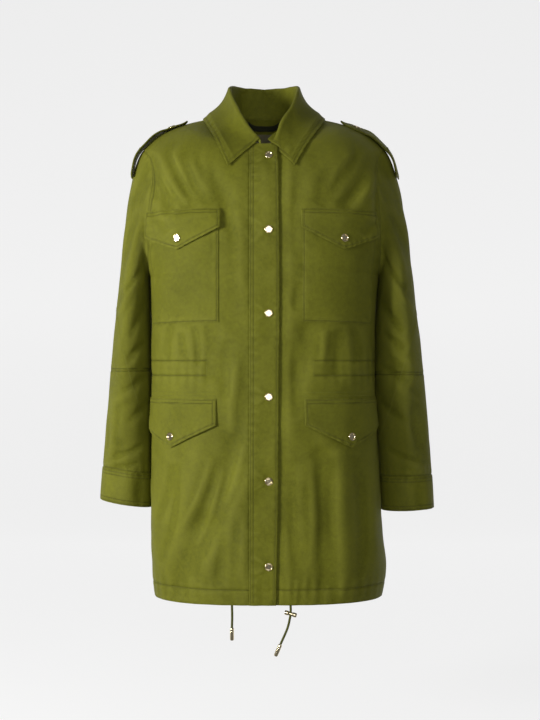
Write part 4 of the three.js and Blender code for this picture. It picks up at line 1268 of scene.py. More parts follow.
    def ring(self, side: Side) -> tuple[Array, Array, Array]:
        """The armhole's edge, a gap out from the body, and the way each place leaves it.

        Args:
            side: which armhole.

        Returns:
            Places, ways on into the sleeve, and each place's turn on the armhole, -90 degrees under the arm.
        """
        k, half = np.arange(self.around), self.around // 2
        front = (k <= half)[:, None]
        level = 1.0 + np.where(k <= half, k, self.around - k) / half
        turn = np.radians(-90.0 + 180.0 * (level - 1.0))

        def edge(at: Array, twist: Array) -> Array:
            """Places on the body a twist short of its edge."""
            turns = [self.form.edge_turn(side, part, at) - twist for part in Part]
            both = [self.form.at(side, part, turn, at, worn=False) for part, turn in zip(Part, turns)]
            found = np.where(front, both[0], both[1])
            found[k % half == 0, 1] = 0.0
            return found

        points = edge(level, 0.0 * turn)
        inner = edge(level + 0.03 * np.sin(turn), math.radians(2.0) * np.cos(turn))
        along = unit(np.roll(points, -1, 0) - np.roll(points, 1, 0))
        on = points - inner
        on = unit(on - np.sum(on * along, 1, keepdims=True) * along)
        out = unit(np.cross(along, on))
        out *= np.where(out @ np.array([side.value, 0.0, 0.5]) < 0, -1.0, 1.0)[:, None]
        under = rise(20.0, 75.0, -np.degrees(turn))[:, None]
        start = points - (on + out) * self.tuck
        part = np.where(front[:, 0], -1.0, 1.0)
        back = -part * self.start_back * np.cos(turn)
        fall = -self.start_fall * np.maximum(np.sin(turn), 0.0)
        first = np.stack([np.full(len(k), side.value * self.start_out), back, fall], 1)
        level_way = np.array([side.value, 0.0, self.start_lift])
        return start, unit(first + (level_way - first) * under), turn

    def sleeve(self, side: Side) -> Panel:
        """One sleeve. Its head is a cubic from each place of the armhole to the upper arm's section."""
        table = self.sections[side]
        upper, lower = table.rows[-1][0], table.rows[1][0] + self.form.seam_gap
        start, first, armhole_turn = self.ring(side)
        turn = turns_round(self.around)
        top, under = np.maximum(np.sin(armhole_turn), 0.0), np.maximum(-np.sin(armhole_turn), 0.0)

        def pull(sizes: tuple[float, float, float]) -> Array:
            """Blends the pulls for the top, the sides and under the arm."""
            return (sizes[1] + (sizes[0] - sizes[1]) * top + (sizes[2] - sizes[1]) * under)[None, :, None]

        t = np.concatenate([[0.0, 0.006], np.linspace(0.0, 1.0, self.head_rows)[1:]])[:, None, None]
        down = unit(np.array([side.value * 0.09, 0.0, -1.0]))
        foot = self.section(side, np.full(self.around, upper), turn)
        head = (
            start * (2 * t**3 - 3 * t**2 + 1)
            + first * (t**3 - 2 * t**2 + t) * pull(self.head_pull)
            + foot * (3 * t**2 - 2 * t**3)
            + down * (t**3 - t**2) * pull(self.foot_pull)
        )
        elbow = upper - self.elbows[side]
        rows = (elbow - 1.5, elbow + 2.5, -3.0)
        height = upper - (upper - lower) * knots(upper - lower, self.arm_rows, rows)[2:]
        arm = self.section(side, height[:, None], turn[None, :])
        grid = np.concatenate([head, arm])
        joint = len(head)
        for _ in range(12):
            grid[joint - 6 : joint + 6] = (grid[joint - 7 : joint + 5] + grid[joint - 5 : joint + 7]) / 2
        worn, axis = self.worn(side, grid, turn), self.axis(side, grid)
        panel = Panel(f"sleeve_{side.word}_cloth", worn, self.wall, axis, True)
        for away in (-1.5, 2.5):
            panel.groove(grid[..., 2] - self.elbows[side] - away, 1.0)
        panel.groove(panel.off(Edge.HEAD)[0] - 3.0)
        return panel

    def axis(self, side: Side, grid: Array) -> Array:
        """The middle of the sleeve beside each place of a grid."""
        table = self.sections[side]
        height = np.minimum(grid[..., 2], table.rows[-1][0])
        middle = side.value * (table.read("inner", height) + table.read("outer", height)) / 2
        return np.stack([middle, np.full_like(middle, 10.0), grid[..., 2]], -1)

    def worn(self, side: Side, grid: Array, turn: Array) -> Array:
        """The grid with its creases: folds, unevenness and the ripples by the seams, along the ways out."""
        plain = Panel("plain", grid, self.wall, self.axis(side, grid), True, dip=0.0)
        z, around = grid[..., 2], (turn * self.radius)[None, :]
        up = plain.up[:, : self.around]
        inward = rise(0.0, 0.6, turn) * rise(2 * np.pi, 2 * np.pi - 0.6, turn)
        depth = self.creases.depth(side.value, around, z, 2 * np.pi * self.radius)
        rumple = Rumple(seed=40 + side.value, height=0.9, shortest=20, longest=70)
        depth = depth - inward * rumple.at(around, z)
        depth = depth + inward * 0.6 * pucker(up, around, 12.0, 14.0, 50)
        depth = depth + inward * 0.8 * pucker(up[-1:] - up, around, 16.0, 13.0, 51)
        elbow = z - self.elbows[side]
        depth = depth + 0.5 * bell(elbow, 2.6)
        depth = depth + inward * 0.5 * pucker(elbow, around, 9.0, 12.0, 52)
        hold = rise(0.0, 9.0, up) * rise(0.0, 7.0, up[-1:] - up)
        return grid - plain.outs * (depth * hold)[..., None]

    def cuff(self, side: Side) -> Panel:
        """The band at the end of a sleeve, a little larger all round, with a dent and drawn seams."""
        table = self.sections[side]
        top, foot = table.rows[1][0], table.rows[0][0]
        turn = turns_round(self.around)
        height = foot + (top - foot) * knots(top - foot, self.cuff_rows, (3.0, 8.0, -3.0, -8.0))
        grid = self.section(side, height[:, None], turn[None, :], self.cuff_out)
        plain = Panel("plain", grid, self.cuff_wall, self.axis(side, grid), True, dip=0.0)
        around, z = (turn * self.radius)[None, :], grid[..., 2]
        dent = 46.0 if side is Side.RIGHT else 96.0
        over = z - foot - 0.45 * (top - foot)
        depth = 3.2 * np.exp(-(((around - dent) / 13.0) ** 2) - (over / 30.0) ** 2)
        depth = depth + 0.5 * pucker(top - z, around, 9.0, 13.0, 60)
        depth = depth + 0.35 * pucker(z - foot, around, 9.0, 16.0, 61)
        depth = depth - Rumple(seed=66 + side.value, height=0.5, shortest=18, longest=50).at(around, z) * (
            rise(0.0, 0.6, turn) * rise(2 * np.pi, 2 * np.pi - 0.6, turn)
        )
        grid = grid - plain.outs * (depth * rise(0.0, 10.0, top - z + 3.0))[..., None]
        rows = ((Edge.FOOT, 3.0), (Edge.FOOT, 8.0), (Edge.HEAD, 3.0), (Edge.HEAD, 8.0))
        return Panel(f"cuff_{side.word}_cloth", grid, self.cuff_wall, self.axis(side, grid), True, seams=rows)

    def build(self, sewing: Sewing) -> None:
        """Makes both sleeves and cuffs and their rows of stitches."""
        for side in Side:
            sleeve, cuff = self.sleeve(side), self.cuff(side)
            sleeve.sew(self.look, (f"sleeve_{side.word}",))
            cuff.sew(self.look, (f"cuff_{side.word}",))
            self.panels[f"sleeve_{side.word}"], self.panels[f"cuff_{side.word}"] = sleeve, cuff
            elbow = sleeve.up[-1].mean() - (self.elbows[side] - self.sections[side].rows[1][0])
            for away in (elbow - 1.5, elbow + 2.5):
                sewing.row("sleeves", sleeve.line(Edge.FOOT, away))
            sewing.row("sleeves", sleeve.line(Edge.HEAD, 3.0))
            sewing.along("sleeves", cuff)


@dataclass
class Collar:
    """A standing strip on the neck edge and the fall that is rolled over it onto the shoulders."""

    form: BodyForm
    look: Look
    rest: Cloud
    centre: float = -4.0
    last_turn: float = 172.0
    steps: int = 220
    fall_rows: int = 44
    fall_wall: float = 2.2
    stand_wall: float = 1.6
    bulge: float = 5.0
    gap: float = 2.2
    front_left: float = 26.5
    aside: Array = field(default_factory=lambda: np.array([14.0, -3.0, -7.0]))
    inset: float = 3.4
    stand_front: float = 8.0
    drop: float = 3.2
    neck_gap: float = -0.5
    roll: float = 2.7
    lip: float = 7.0
    lip_back: float = 43.0
    wrinkles: Folds = Folds({
        1: (
            (-62, -8, -30, -34, 4, 2.2, 3), (-40, -4, -22, -26, 3, -1.8, -2),
            (-84, -14, -52, -40, 5, 2.4, -3), (-18, -6, -4, -30, 4, 1.6, 2), (14, -30, 34, -12, 4, 1.8, -3),
            (40, -38, 66, -14, 5, 2.2, 3), (62, -40, 92, -10, 5, -1.8, 3),
        ),
    })
    lines: Table = Table(
        "turn roll_x roll_y roll_z edge_x edge_y edge_z",
        (
            (0, 0, 76, 868, 0, 109, 796),
            (40, 38, 62, 868, 62, 86, 798),
            (75, 59, 26, 864, 94, 38, 803),
            (100, 60, -8, 849, 103, -4, 801),
            (125, 48, -48, 815, 90, -52, 775),
            (150, 27, -76, 780, 72, -92, 742),
            (172, 5, -90, 755, 54, -119, 707),
        ),
    )

    def line(self, turn: Array, name: str) -> Array:
        """The roll line or the outer edge at turns from the back's middle, below 0 on the wearer's right."""
        x, y, z = (self.lines.read(f"{name}_{axis}", np.abs(turn)) for axis in "xyz")
        shift = self.centre * rise(120.0, self.last_turn, np.abs(turn))
        return np.stack([np.sign(turn) * x + shift, y, z], -1)

    def neck_edge(self, turn: Array) -> Array:
        """The body's neck edge under the collar."""
        found = np.zeros((len(turn), 3))
        for side in Side:
            for part in Part:
                here = (turn < 0) if side is Side.RIGHT else (turn >= 0)
                here = here & ((np.abs(turn) > 90.0) if part is Part.FRONT else (np.abs(turn) <= 90.0))
                share = np.radians(180.0 - np.abs(turn) if part is Part.FRONT else np.abs(turn))
                found[here] = self.form.at(side, part, share, np.full(len(turn), 3.0), worn=False)[here]
        return found

    def stand(self, turn: Array) -> Panel:
        """The stand: straight from the neck edge to below the roll."""
        foot = self.neck_edge(turn) + [0.0, 0.0, self.neck_gap]
        top = self.line(turn, "roll")
        inward = unit(top * [1.0, 1.0, 0.0])
        top = top - inward * self.inset - [0.0, 0.0, self.drop]
        top[:, 2] += self.stand_front * rise(125.0, self.last_turn, turn)
        height = np.linalg.norm(top - foot, axis=-1)
        share = shares(18)[:, None] * np.clip(1.0 - self.lip / np.maximum(height, 12.0), 0.3, 1.0)[None, :]
        grid = foot[None] + (top - foot)[None] * share[..., None]
        ripple = Rumple(seed=71, height=0.5, shortest=25, longest=60).at(turn[None, :] * 1.2, 30 * share)
        grid = grid + inward[None] * (ripple * np.sin(np.pi * share))[..., None]
        return Panel("collar_stand_cloth", grid, self.stand_wall, dip=0.0)

    def fall(self, turn: Array) -> Panel:
        """The fall: an arc over the roll line, then down to the edge on a swell, clear of the shoulders.

        The arc has the roll's radius and starts with a short lip inside the stand.
        """
        roll, edge = self.line(turn, "roll"), self.line(turn, "edge")
        roll = roll + self.aside * rise(138.0, self.last_turn, turn)[:, None]
        out = unit((edge - roll) * [1.0, 1.0, 0.0])
        up = np.array([0.0, 0.0, 1.0])
        v = knots(82.0, self.fall_rows, (-5.2,))[1:, None, None]
        along = self.line(turn + 1.0, "roll") - self.line(turn - 1.0, "roll")
        square = -unit(np.cross(along, edge - roll))
        swell = self.bulge * np.sin(np.pi * np.minimum(v * 1.3, 1.0))
        fall = roll[None] + (edge - roll)[None] * v + square[None] * swell
        short = np.maximum(self.front_left - fall[..., 0], 0.0) * rise(0.0, 0.2, v[..., 0])
        fall[..., 0] += short * rise(150.0, self.last_turn, turn)[None]
        fall = self.rest.laid(fall, self.fall_wall + self.gap)
        centre = roll - out * self.roll - up * 0.6 * self.roll
        angles = np.radians([180.0, 160.0, 135.0, 110.0, 85.0, 60.0, 35.0])[:, None, None]
        arc = centre[None] + self.roll * (np.cos(angles) * out[None] + np.sin(angles) * up)
        long = self.lip + (self.lip_back - self.lip) * rise(150.0, 105.0, np.abs(turn))
        drops = np.concatenate([[1.0], np.linspace(0.985, 0.08, 18)])[:, None] * long
        lip = arc[:1] - up * drops[..., None]
        grid = np.concatenate([lip, arc, fall])
        rolled = np.broadcast_to(centre, (len(lip) + len(arc), *centre.shape))
        core = np.concatenate([rolled, fall - out[None] * 20 - up * 12])
        plain = Panel("plain", grid, self.fall_wall, core, dip=0.0)
        down = plain.up
        across = plain.across
        depth = -Rumple(seed=77, height=0.75, shortest=24, longest=80).at(turn[None, :] * 1.9, down)
        inside = rise(long + 6.0, long - 6.0, down)
        depth = depth * (rise(4.0, 26.0, down) + 0.6 * inside)
        depth = depth + inside * self.wrinkles.depth(1, turn[None, :] * 1.25, long - down)
        depth = depth + 0.45 * pucker(down[-1:] - down - 5.0, across, 7.0, 14.0, 78)
        depth = depth + 0.8 * bell(down - 30.0, 8.0) * np.sin(turn / 9.0)[None, :]
        grid = grid - plain.outs * depth[..., None]
        rows = ((Edge.HEAD, 5.2), (Edge.START, 5.2), (Edge.END, 5.2))
        return Panel("collar_fall_cloth", grid, self.fall_wall, core, seams=rows)

    def build(self, sewing: Sewing) -> None:
        """Makes the stand and the fall, with a row of stitches inside the fall's edges."""
        turn = self.last_turn * (2.0 * knots(480.0, self.steps, (5.2, -5.2)) - 1.0)
        self.stand(turn).sew(self.look, ("collar_stand",))
        fall = self.fall(turn)
        fall.sew(self.look, ("collar_fall",))
        sewing.along("collar", fall)


@dataclass
class Pocket:
    """A pocket on a front: a patch with a pointed flap at the chest, or a flap alone at the hip."""

    form: BodyForm
    look: Look
    side: Side
    word: str
    inner: float
    wide: float
    top: float
    inner_corner: float
    outer_corner: float
    point: float
    over: float
    patch_top: float = 0.0
    patch_foot: float = 0.0
    wall: float = 1.8
    patch_wall: float = 1.4
    gap: float = 0.8
    tip_lift: float = 2.2
    flap_panel: Panel | None = None

    def lay(self, round_way: Array, height: Array, lift: Sizes) -> Array:
        """Places on the front by distance round it and height, moved out of the worn cloth by lift."""
        turn, level = self.form.place(self.side, Part.FRONT, round_way, height)
        ground = self.form.at(self.side, Part.FRONT, turn, level)
        outs = unit(np.cross(np.gradient(ground, axis=1), np.gradient(ground, axis=0)))
        outs = outs * np.sign(np.sum(outs * ground * [1.0, 1.0, 0.0]))
        return ground + outs * np.broadcast_to(lift, height.shape)[..., None]

    def flap(self) -> Panel:
        """The flap: straight across the top, its foot falling to a soft point, standing off the coat."""
        u, v = knots(self.wide, 64, (5.0, -5.0))[None, :], 1.0 - knots(50.0, 40, (-2.4, -8.0))[:, None]
        middle = 1.0 - np.sqrt((2 * u - 1) ** 2 + 0.001)
        corner = np.where(u < 0.5, self.inner_corner, self.outer_corner)
        foot = corner + (self.point - corner) * middle
        height = self.top + (foot - self.top) * v
        lift = self.wall + self.gap + self.over * rise(0.0, 0.3, v) + self.tip_lift * v * v
        seed = 80 + int(self.top) % 7 + self.side.value
        rumple = Rumple(seed=seed, height=0.5, shortest=24, longest=70).at(u * self.wide, height)
        lift = lift + rumple * rise(0.0, 0.3, v)
        lift = lift + 1.2 * rise(0.35, 1.0, v) * np.exp(-(((np.abs(2 * u - 1) - 0.72) / 0.2) ** 2))
        aside, above = (u - 0.5) * self.wide, height - self.point - 19.0
        lift = lift - 1.0 * np.exp(-((aside / 9.0) ** 2) - (above / 9.0) ** 2)
        lift = lift + 0.35 * pucker((1 - v) * 60.0 - 3.0, u * self.wide, 6.0, 11.0, seed)
        grid = self.lay(self.inner + self.wide * u[0], height, lift)
        rows = ((Edge.FOOT, 5.0), (Edge.START, 5.0), (Edge.END, 5.0), (Edge.HEAD, 2.4), (Edge.HEAD, 8.0))
        return Panel(f"{self.word}_flap_{self.side.word}_cloth", grid, self.wall, seams=rows)

    def patch(self) -> Panel:
        """The patch: a plain rectangle, a little full below the flap."""
        u, v = knots(134.0, 64, (2.6, -2.6))[None, :], knots(167.0, 84, (2.6,))[:, None]
        foot = self.patch_foot - 3.0 * u
        height = foot + (self.patch_top - foot) * v
        full = 1.6 * np.sin(np.pi * u) * np.sin(np.pi * np.minimum((1 - v) * 1.25, 1.0)) * rise(1.0, 0.55, v)
        seed = 90 + self.side.value
        away = np.minimum(np.minimum(u, 1 - u) * self.wide, v * 165.0)
        along = u * self.wide + v * 165.0
        ripple = 0.22 * pucker(away - 5.0, along, 6.0, 27.0, seed)
        lift = self.patch_wall + self.gap + full + ripple * rise(1.0, 0.7, v)
        lift = lift + Rumple(seed=seed, height=0.45).at(u * self.wide, height) * rise(0.95, 0.6, v)
        grid = self.lay(self.inner + 2.0 + (self.wide - 6.0) * u[0], height, lift)
        rows = tuple((edge, 2.6) for edge in (Edge.FOOT, Edge.START, Edge.END))
        return Panel(f"chest_pocket_{self.side.word}_cloth", grid, self.patch_wall, seams=rows)

    def build(self, sewing: Sewing) -> None:
        """Makes the pocket's pieces with rows of stitches inside their edges."""
        front = f"front_{self.side.word}_cloth"
        if self.patch_top:
            patch = self.patch()
            patch.sew(self.look, (f"chest_pocket_{self.side.word}",), (front,), held="laid")
            sewing.along("pockets", patch)
        self.flap_panel = self.flap()
        self.flap_panel.sew(self.look, (f"{self.word}_flap_{self.side.word}",), (front,))
        sewing.along("pockets", self.flap_panel)


@dataclass
class Strap:
    """A shoulder strap: pointed near the collar, over the shoulder, its outer end on the sleeve's head."""

    look: Look
    side: Side
    tilt: float
    body: Cloud
    sleeve: Cloud
    middle: float = -4.0
    wall: float = 2.2
    clear: float = 0.5
    on_sleeve: float = 204.0
    panel: Panel | None = None
    rows: Table = Table(
        "share out height half air",
        (
            (0, 131, 803.5, 3, 3.5),
            (0.1, 141, 799.5, 14, 0.3),
            (0.2, 152, 795, 21, 0),
            (0.36, 172, 787, 21, 0),
            (0.52, 193, 773, 21, 0.9),
            (0.66, 209, 755, 21, 2.6),
            (0.8, 222, 734, 21, 3.2),
            (0.92, 231, 713, 21, 1.6),
            (1, 233.5, 705, 21, 0.4),
        ),
    )

    def build(self, sewing: Sewing) -> None:
        """Makes the strap. Each cross row is lifted off what lies under it by the table's air."""
        v, u = shares(64)[:, None], knots(42.0, 18, (2.4, 7.0, -2.4, -7.0))[None, :]
        out, height, half, air = (self.rows.read(c, v) for c in ("out", "height", "half", "air"))
        y = self.middle + half * (2 * u - 1)
        z = height + self.tilt * y * (1.0 - rise(0.6, 1.0, v))
        x = self.side.value * (out + self.tilt * y * rise(0.5, 1.0, v) * 0.5)
        grid = np.stack([x, y, z], -1)
        spine = grid[:, grid.shape[1] // 2]
        from_body, body_out = self.body.standing(spine)
        from_sleeve, sleeve_out = self.sleeve.standing(spine)
        over = rise(self.on_sleeve - 10.0, self.on_sleeve + 6.0, np.abs(spine[:, 0]))[:, None]
        ways = unit(body_out + (sleeve_out - body_out) * over)
        stands = from_body + (from_sleeve - from_body) * over[:, 0]
        for _ in range(3):
            stands = np.convolve(np.pad(stands, 2, "edge"), np.ones(5) / 5, "valid")
        grid = grid + (ways * (self.wall + air - stands[:, None]))[:, None]
        clouds = (self.body, self.sleeve)
        both = Cloud(np.concatenate([c.points for c in clouds]), np.concatenate([c.outs for c in clouds]))
        grid = both.clear(grid, self.clear + self.wall)
        core = grid * [0.7, 1.0, 1.0] - [0.0, 0.0, 80.0]
        ripple = Rumple(seed=100 + self.side.value, height=0.4, shortest=20, longest=50).at(u * 42, v * 150)
        plain = Panel("plain", grid, self.wall, core, dip=0.0)
        grid = grid + plain.outs * (np.maximum(ripple, -0.3) + 0.5 * np.sin(np.pi * u))[..., None]
        rows = tuple((edge, away) for edge in (Edge.START, Edge.END) for away in (2.4, 7.0))
        self.panel = Panel(f"shoulder_strap_{self.side.word}_cloth", grid, self.wall, core, seams=rows)
        self.panel.sew(self.look, (f"shoulder_strap_{self.side.word}",), (f"sleeve_{self.side.word}_cloth",))
        sewing.along("straps", self.panel)


@dataclass
class Snaps:
    """Metal caps, each turned from one profile and pressed into the cloth where its solid stands."""

    look: Look
    sides: int = 40
    profile: Table = Table(
        "step radius height",
        (
            (0, 0, 1.1),
            (1, 1.6, 1.1),
            (2, 3.3, 1.1),
            (3, 4.4, 1.1),
            (4, 4.8, 1.7),
            (5, 5.3, 2.25),
            (6, 6.0, 2.05),
            (7, 6.5, 1.45),
            (8, 6.65, 0.7),
            (9, 6.4, 0.1),
            (10, 5.6, -0.2),
            (11, 0, -0.2),
        ),
    )

    def put(self, node: str, panel: Panel) -> None:
        """Makes one cap on a panel, at the nearest place to its solid's middle.

        Args:
            node: the cap's solid.
            panel: the cloth that it is pressed into.
        """
        low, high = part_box(node)
        middle = (np.array(low) + np.array(high)) / 2 / MM + [0.0, 0.0, HELD_HEIGHT]
        flat = panel.grid.reshape(-1, 3)
        near = np.argmin(np.sum((flat - middle) ** 2, 1))
        out = panel.outs.reshape(-1, 3)[near]
        seat = middle - out * np.dot(middle - flat[near], out) + out * 0.15
        steps = np.linspace(0.0, 11.0, 34)
        radius, height = self.profile.read("radius", steps), self.profile.read("height", steps)
        turned_piece(seat, out, radius, height, self.sides).put(f"{node}_cap", self.look, "metal", (node,))


def turned_piece(seat: Array, way: Array, radius: Array, height: Array, sides: int) -> Mesh:
    """A turned solid: a profile of radii and heights carried round an axis, both its ends on the axis.

    Args:
        seat: where the axis starts.
        way: its direction.
        radius: the profile's radii.
        height: the profile's heights along the axis.
        sides: how many steps go round.

    Returns:
        The closed mesh.
    """
    way = unit(np.asarray(way, float))
    side = unit(np.cross(way, [0.13, 0.29, 0.95] if abs(way[2]) < 0.9 else [1.0, 0.1, 0.0]))
    third = np.cross(way, side)
    turn = turns_round(sides)
    ring = np.cos(turn)[:, None] * side + np.sin(turn)[:, None] * third
    radius = radius[1:-1]
    body = seat + radius[:, None, None] * ring + (height[1:-1])[:, None, None] * way
    points = np.concatenate([body.reshape(-1, 3), [seat + height[0] * way, seat + height[-1] * way]])
    k, n = np.arange(sides), (np.arange(sides) + 1) % sides
    rows = np.arange(len(radius) - 1)[:, None] * sides
    quads = np.stack([rows + k, rows + n, rows + n + sides, rows + k + sides], -1).reshape(-1, 4)
    last, pole = (len(radius) - 1) * sides, len(body) * sides
    foot = np.stack([n, k, 0 * k + pole], 1)
    caps = np.concatenate([foot, np.stack([last + k, last + n, 0 * k + pole + 1], 1)])
    return Mesh(points, [quads, caps]).faced()


@dataclass
class BackNeck:
    """What shows inside the back neck: a hanger loop and a bare label."""

    form: BodyForm
    tape: Look
    label: Look
    wall: float = 1.6
    gap: float = 0.9

    def inside(self, x: Array, height: Array, lift: Sizes) -> Array:
        """Places inside the back, lift away from its inner face."""
        found = []
        for side in Side:
            turn, level = self.form.place(side, Part.BACK, np.abs(x), height)
            found.append(self.form.at(side, Part.BACK, turn, level))
        place = np.where((x < 0)[None, :, None], found[0], found[1])
        inward = unit(place * [-1.0, -1.0, 0.0])
        return place + inward * (self.wall + np.broadcast_to(lift, height.shape))[..., None]

    def build(self) -> None:
        """Makes the loop, which sags and stands off at its middle, and the label, flat on the cloth."""
        u, v = 2 * shares(48)[None, :] - 1, shares(6)[:, None]
        height = 812.0 - 8.0 * (1 - u**4) - 8.5 * (1 - v)
        grid = self.inside(29.0 * u[0], height, self.gap + 3.2 * (1 - u * u))
        Panel("hanger_loop_tape", grid, 1.6, grid * [0, 0, 1] - grid * [1, 1, 0], dip=0.0).sew(
            self.tape, ("hanger_loop",), ("back_cloth",), "plain_cloth", "stretched"
        )
        u, v = 2 * shares(30)[None, :] - 1, shares(20)[:, None]
        height = 791.0 - 22.0 * (1 - v) + 0.0 * u
        grid = self.inside(16.0 * u[0], height, self.gap)
        label = Panel("neck_label_tape", grid, 0.9, dip=0.0)
        label.sew(self.label, ("neck_label",), ("back_cloth",), "plain_cloth", "laid")


@dataclass
class Drawcord:
    """The two free ends of the hem's cord, their metal ends, and the barrel stopper on one of them."""

    cloth: Look
    metal: Look
    y: float = -125.6
    radius: float = 1.9
    sides: int = 20
    gap: float = 0.4
    right: Table = Table("share x z", ((0, -51, 0.8), (0.5, -50.6, -17.5), (1, -51, -35)))
    left: Table = Table(
        "share x z",
        (
            (0, 43, 0.8), (0.14, 43.2, -7), (0.24, 42.9, -13),
            (0.34, 42.0, -19.5), (0.6, 38, -36), (1, 27, -61.5),
        ),
    )
    end_length: float = 20.0
    end_profile: Table = Table(
        "share radius",
        (
            (0, 2.5), (0.05, 3.0), (0.12, 3.2), (0.2, 3.2), (0.24, 2.9),
            (0.28, 3.2), (0.88, 3.2), (0.96, 2.9), (1, 2.4),
        ),
    )
    stopper_profile: Table = Table(
        "share radius",
        (
            (0, 2.7), (0.05, 3.4), (0.1, 3.6), (0.28, 3.6), (0.34, 3.1), (0.5, 3.0),
            (0.66, 3.1), (0.72, 3.6), (0.9, 3.6), (0.95, 3.4), (1, 2.7),
        ),
    )
    stopper_length: float = 20.0
    stopper_tilt: float = 16.0

    def fitting(self, node: str, seat: Array, way: Array, length: float, profile: Table) -> Made:
        """A turned metal fitting, closed at both ends."""
        share = np.linspace(0.0, 1.0, 44)
        radius = np.concatenate([[0.0], profile.read("radius", share), [0.0]])
        height = np.concatenate([[0.0], share * length, [length]])
        return turned_piece(seat, way, radius, height, 32).put(f"{node}_metal", self.metal, "metal", (node,))

    def tube(self, name: str, nodes: tuple[str, ...], table: Table, fittings: list[Made]) -> None:
        """A round cord along a table's curve.

        The rings stand across the curve: the coat's Y, and the way across both it and the curve.
        """
        share = np.linspace(0.0, 1.0, 60)
        path = np.stack([table.read("x", share), np.full(60, self.y), table.read("z", share)], 1)
        along = unit(np.gradient(path, axis=0))
        across = np.cross(along, [0.0, 1.0, 0.0])
        turn = turns_round(self.sides)
        back = np.array([0.0, 1.0, 0.0])
        ring = np.cos(turn)[None, :, None] * back + np.sin(turn)[None, :, None] * across[:, None]
        points = path[:, None] + self.radius * ring
        k, n = np.arange(self.sides + 1), len(path)
        gone = distances(path)
        index = np.arange(n)[:, None] * self.sides + k[None, :] % self.sides
        round_way = k[None, :] / self.sides * 2 * np.pi * self.radius
        chart = np.stack(np.broadcast_arrays(round_way, gone[:, None]), -1)
        quads = [np.stack([a[:-1, :-1], a[:-1, 1:], a[1:, 1:], a[1:, :-1]], 2) for a in (index, chart)]
        poles = n * self.sides + np.array([0, 1])
        caps = []
        for row, pole in zip((0, n - 1), poles):
            start, following = index[row, :-1], index[row, 1:]
            order = (following, start) if row == 0 else (start, following)
            caps.append(np.stack([*order, np.full(self.sides, pole)], 1))
        cap_chart = [np.zeros((self.sides, 3, 2)) for _ in caps]
        mesh = Mesh(
            np.concatenate([points.reshape(-1, 3), path[[0, -1]]]),
            [quads[0].reshape(-1, 4), *caps],
            [quads[1].reshape(-1, 4, 2), *cap_chart],
        ).faced()
        made = mesh.put(name, self.cloth, "cord", nodes)

    def build(self) -> None:
        """Makes both cords with their fittings."""
        tip = np.array([self.right.rows[-1][1], self.y, self.right.rows[-1][2] - self.gap])
        end = self.fitting("cord_end_right", tip, [0, 0, -1], self.end_length, self.end_profile)
        self.tube("drawcord_right_braid", ("drawcord_right",), self.right, [end])
        (_, knee_x, knee_z), (_, end_x, end_z) = self.left.rows[-2:]
        way = unit(np.array([end_x - knee_x, 0.0, end_z - knee_z]))
        tip = np.array([end_x, self.y, end_z]) + way * 2 * self.gap
        end = self.fitting("cord_end_left", tip, way, self.end_length, self.end_profile)
        lean = math.radians(self.stopper_tilt)
        barrel = np.array([math.cos(lean), 0.0, -math.sin(lean)])
        start = np.array([43.0, self.y, -13.0]) - barrel * self.stopper_length / 2
        stopper = self.fitting("cord_stopper", start, barrel, self.stopper_length, self.stopper_profile)
        nodes = ("drawcord_left_upper", "drawcord_left_lower")
        self.tube("drawcord_left_braid", nodes, self.left, [end, stopper])


class Graph:
    """A short way to build one material's nodes."""

    def __init__(self, name: str) -> None:
        """Makes the material and its shader."""
        self.material = bpy.data.materials.new(name)
        self.material.use_nodes = True
        self.tree = self.material.node_tree
        self.shader = self.tree.nodes["Principled BSDF"]

    def add(self, kind: str, inputs: Inputs | None = None, **settings: object) -> bpy.types.Node:
        """Adds a node, sets it up and links or sets its inputs."""
        node = self.tree.nodes.new(f"ShaderNode{kind}")
        for key, value in settings.items():
            setattr(node, key, value)
        self.feed(node, inputs or {})
        return node

    def feed(self, node: bpy.types.Node, inputs: Inputs) -> None:
        """Links sockets and sets plain values on a node's inputs."""
        for key, value in inputs.items():
            if isinstance(value, Socket):
                self.tree.links.new(value, node.inputs[key])
            else:
                node.inputs[key].default_value = value

    def maths(self, operation: str, *values: object) -> Socket:
        """The outcome of a sum or another operation."""
        return self.add("Math", dict(enumerate(values)), operation=operation).outputs[0]

    def plus(self, first: object, second: object) -> Socket:
        """A sum."""
        return self.maths("ADD", first, second)

    def times(self, first: object, second: object) -> Socket:
        """A product."""
        return self.maths("MULTIPLY", first, second)

    def blend(self, share: object, low: object, high: object) -> Socket:
        """A blend of two colours."""
        node = self.add("Mix", data_type="RGBA")
        self.feed(node, {0: share, 6: low, 7: high})
        return node.outputs[2]

    def noise(self, scale: float, detail: float, where: Socket) -> Socket:
        """A noise's value."""
        return self.add("TexNoise", {"Vector": where, "Scale": scale, "Detail": detail}).outputs[0]

    def spread(self, value: Socket, low: float, high: float) -> Socket:
        """A value stretched from low and high to 0 and 1."""
        return self.add("MapRange", {0: value, 1: low, 2: high}).outputs[0]


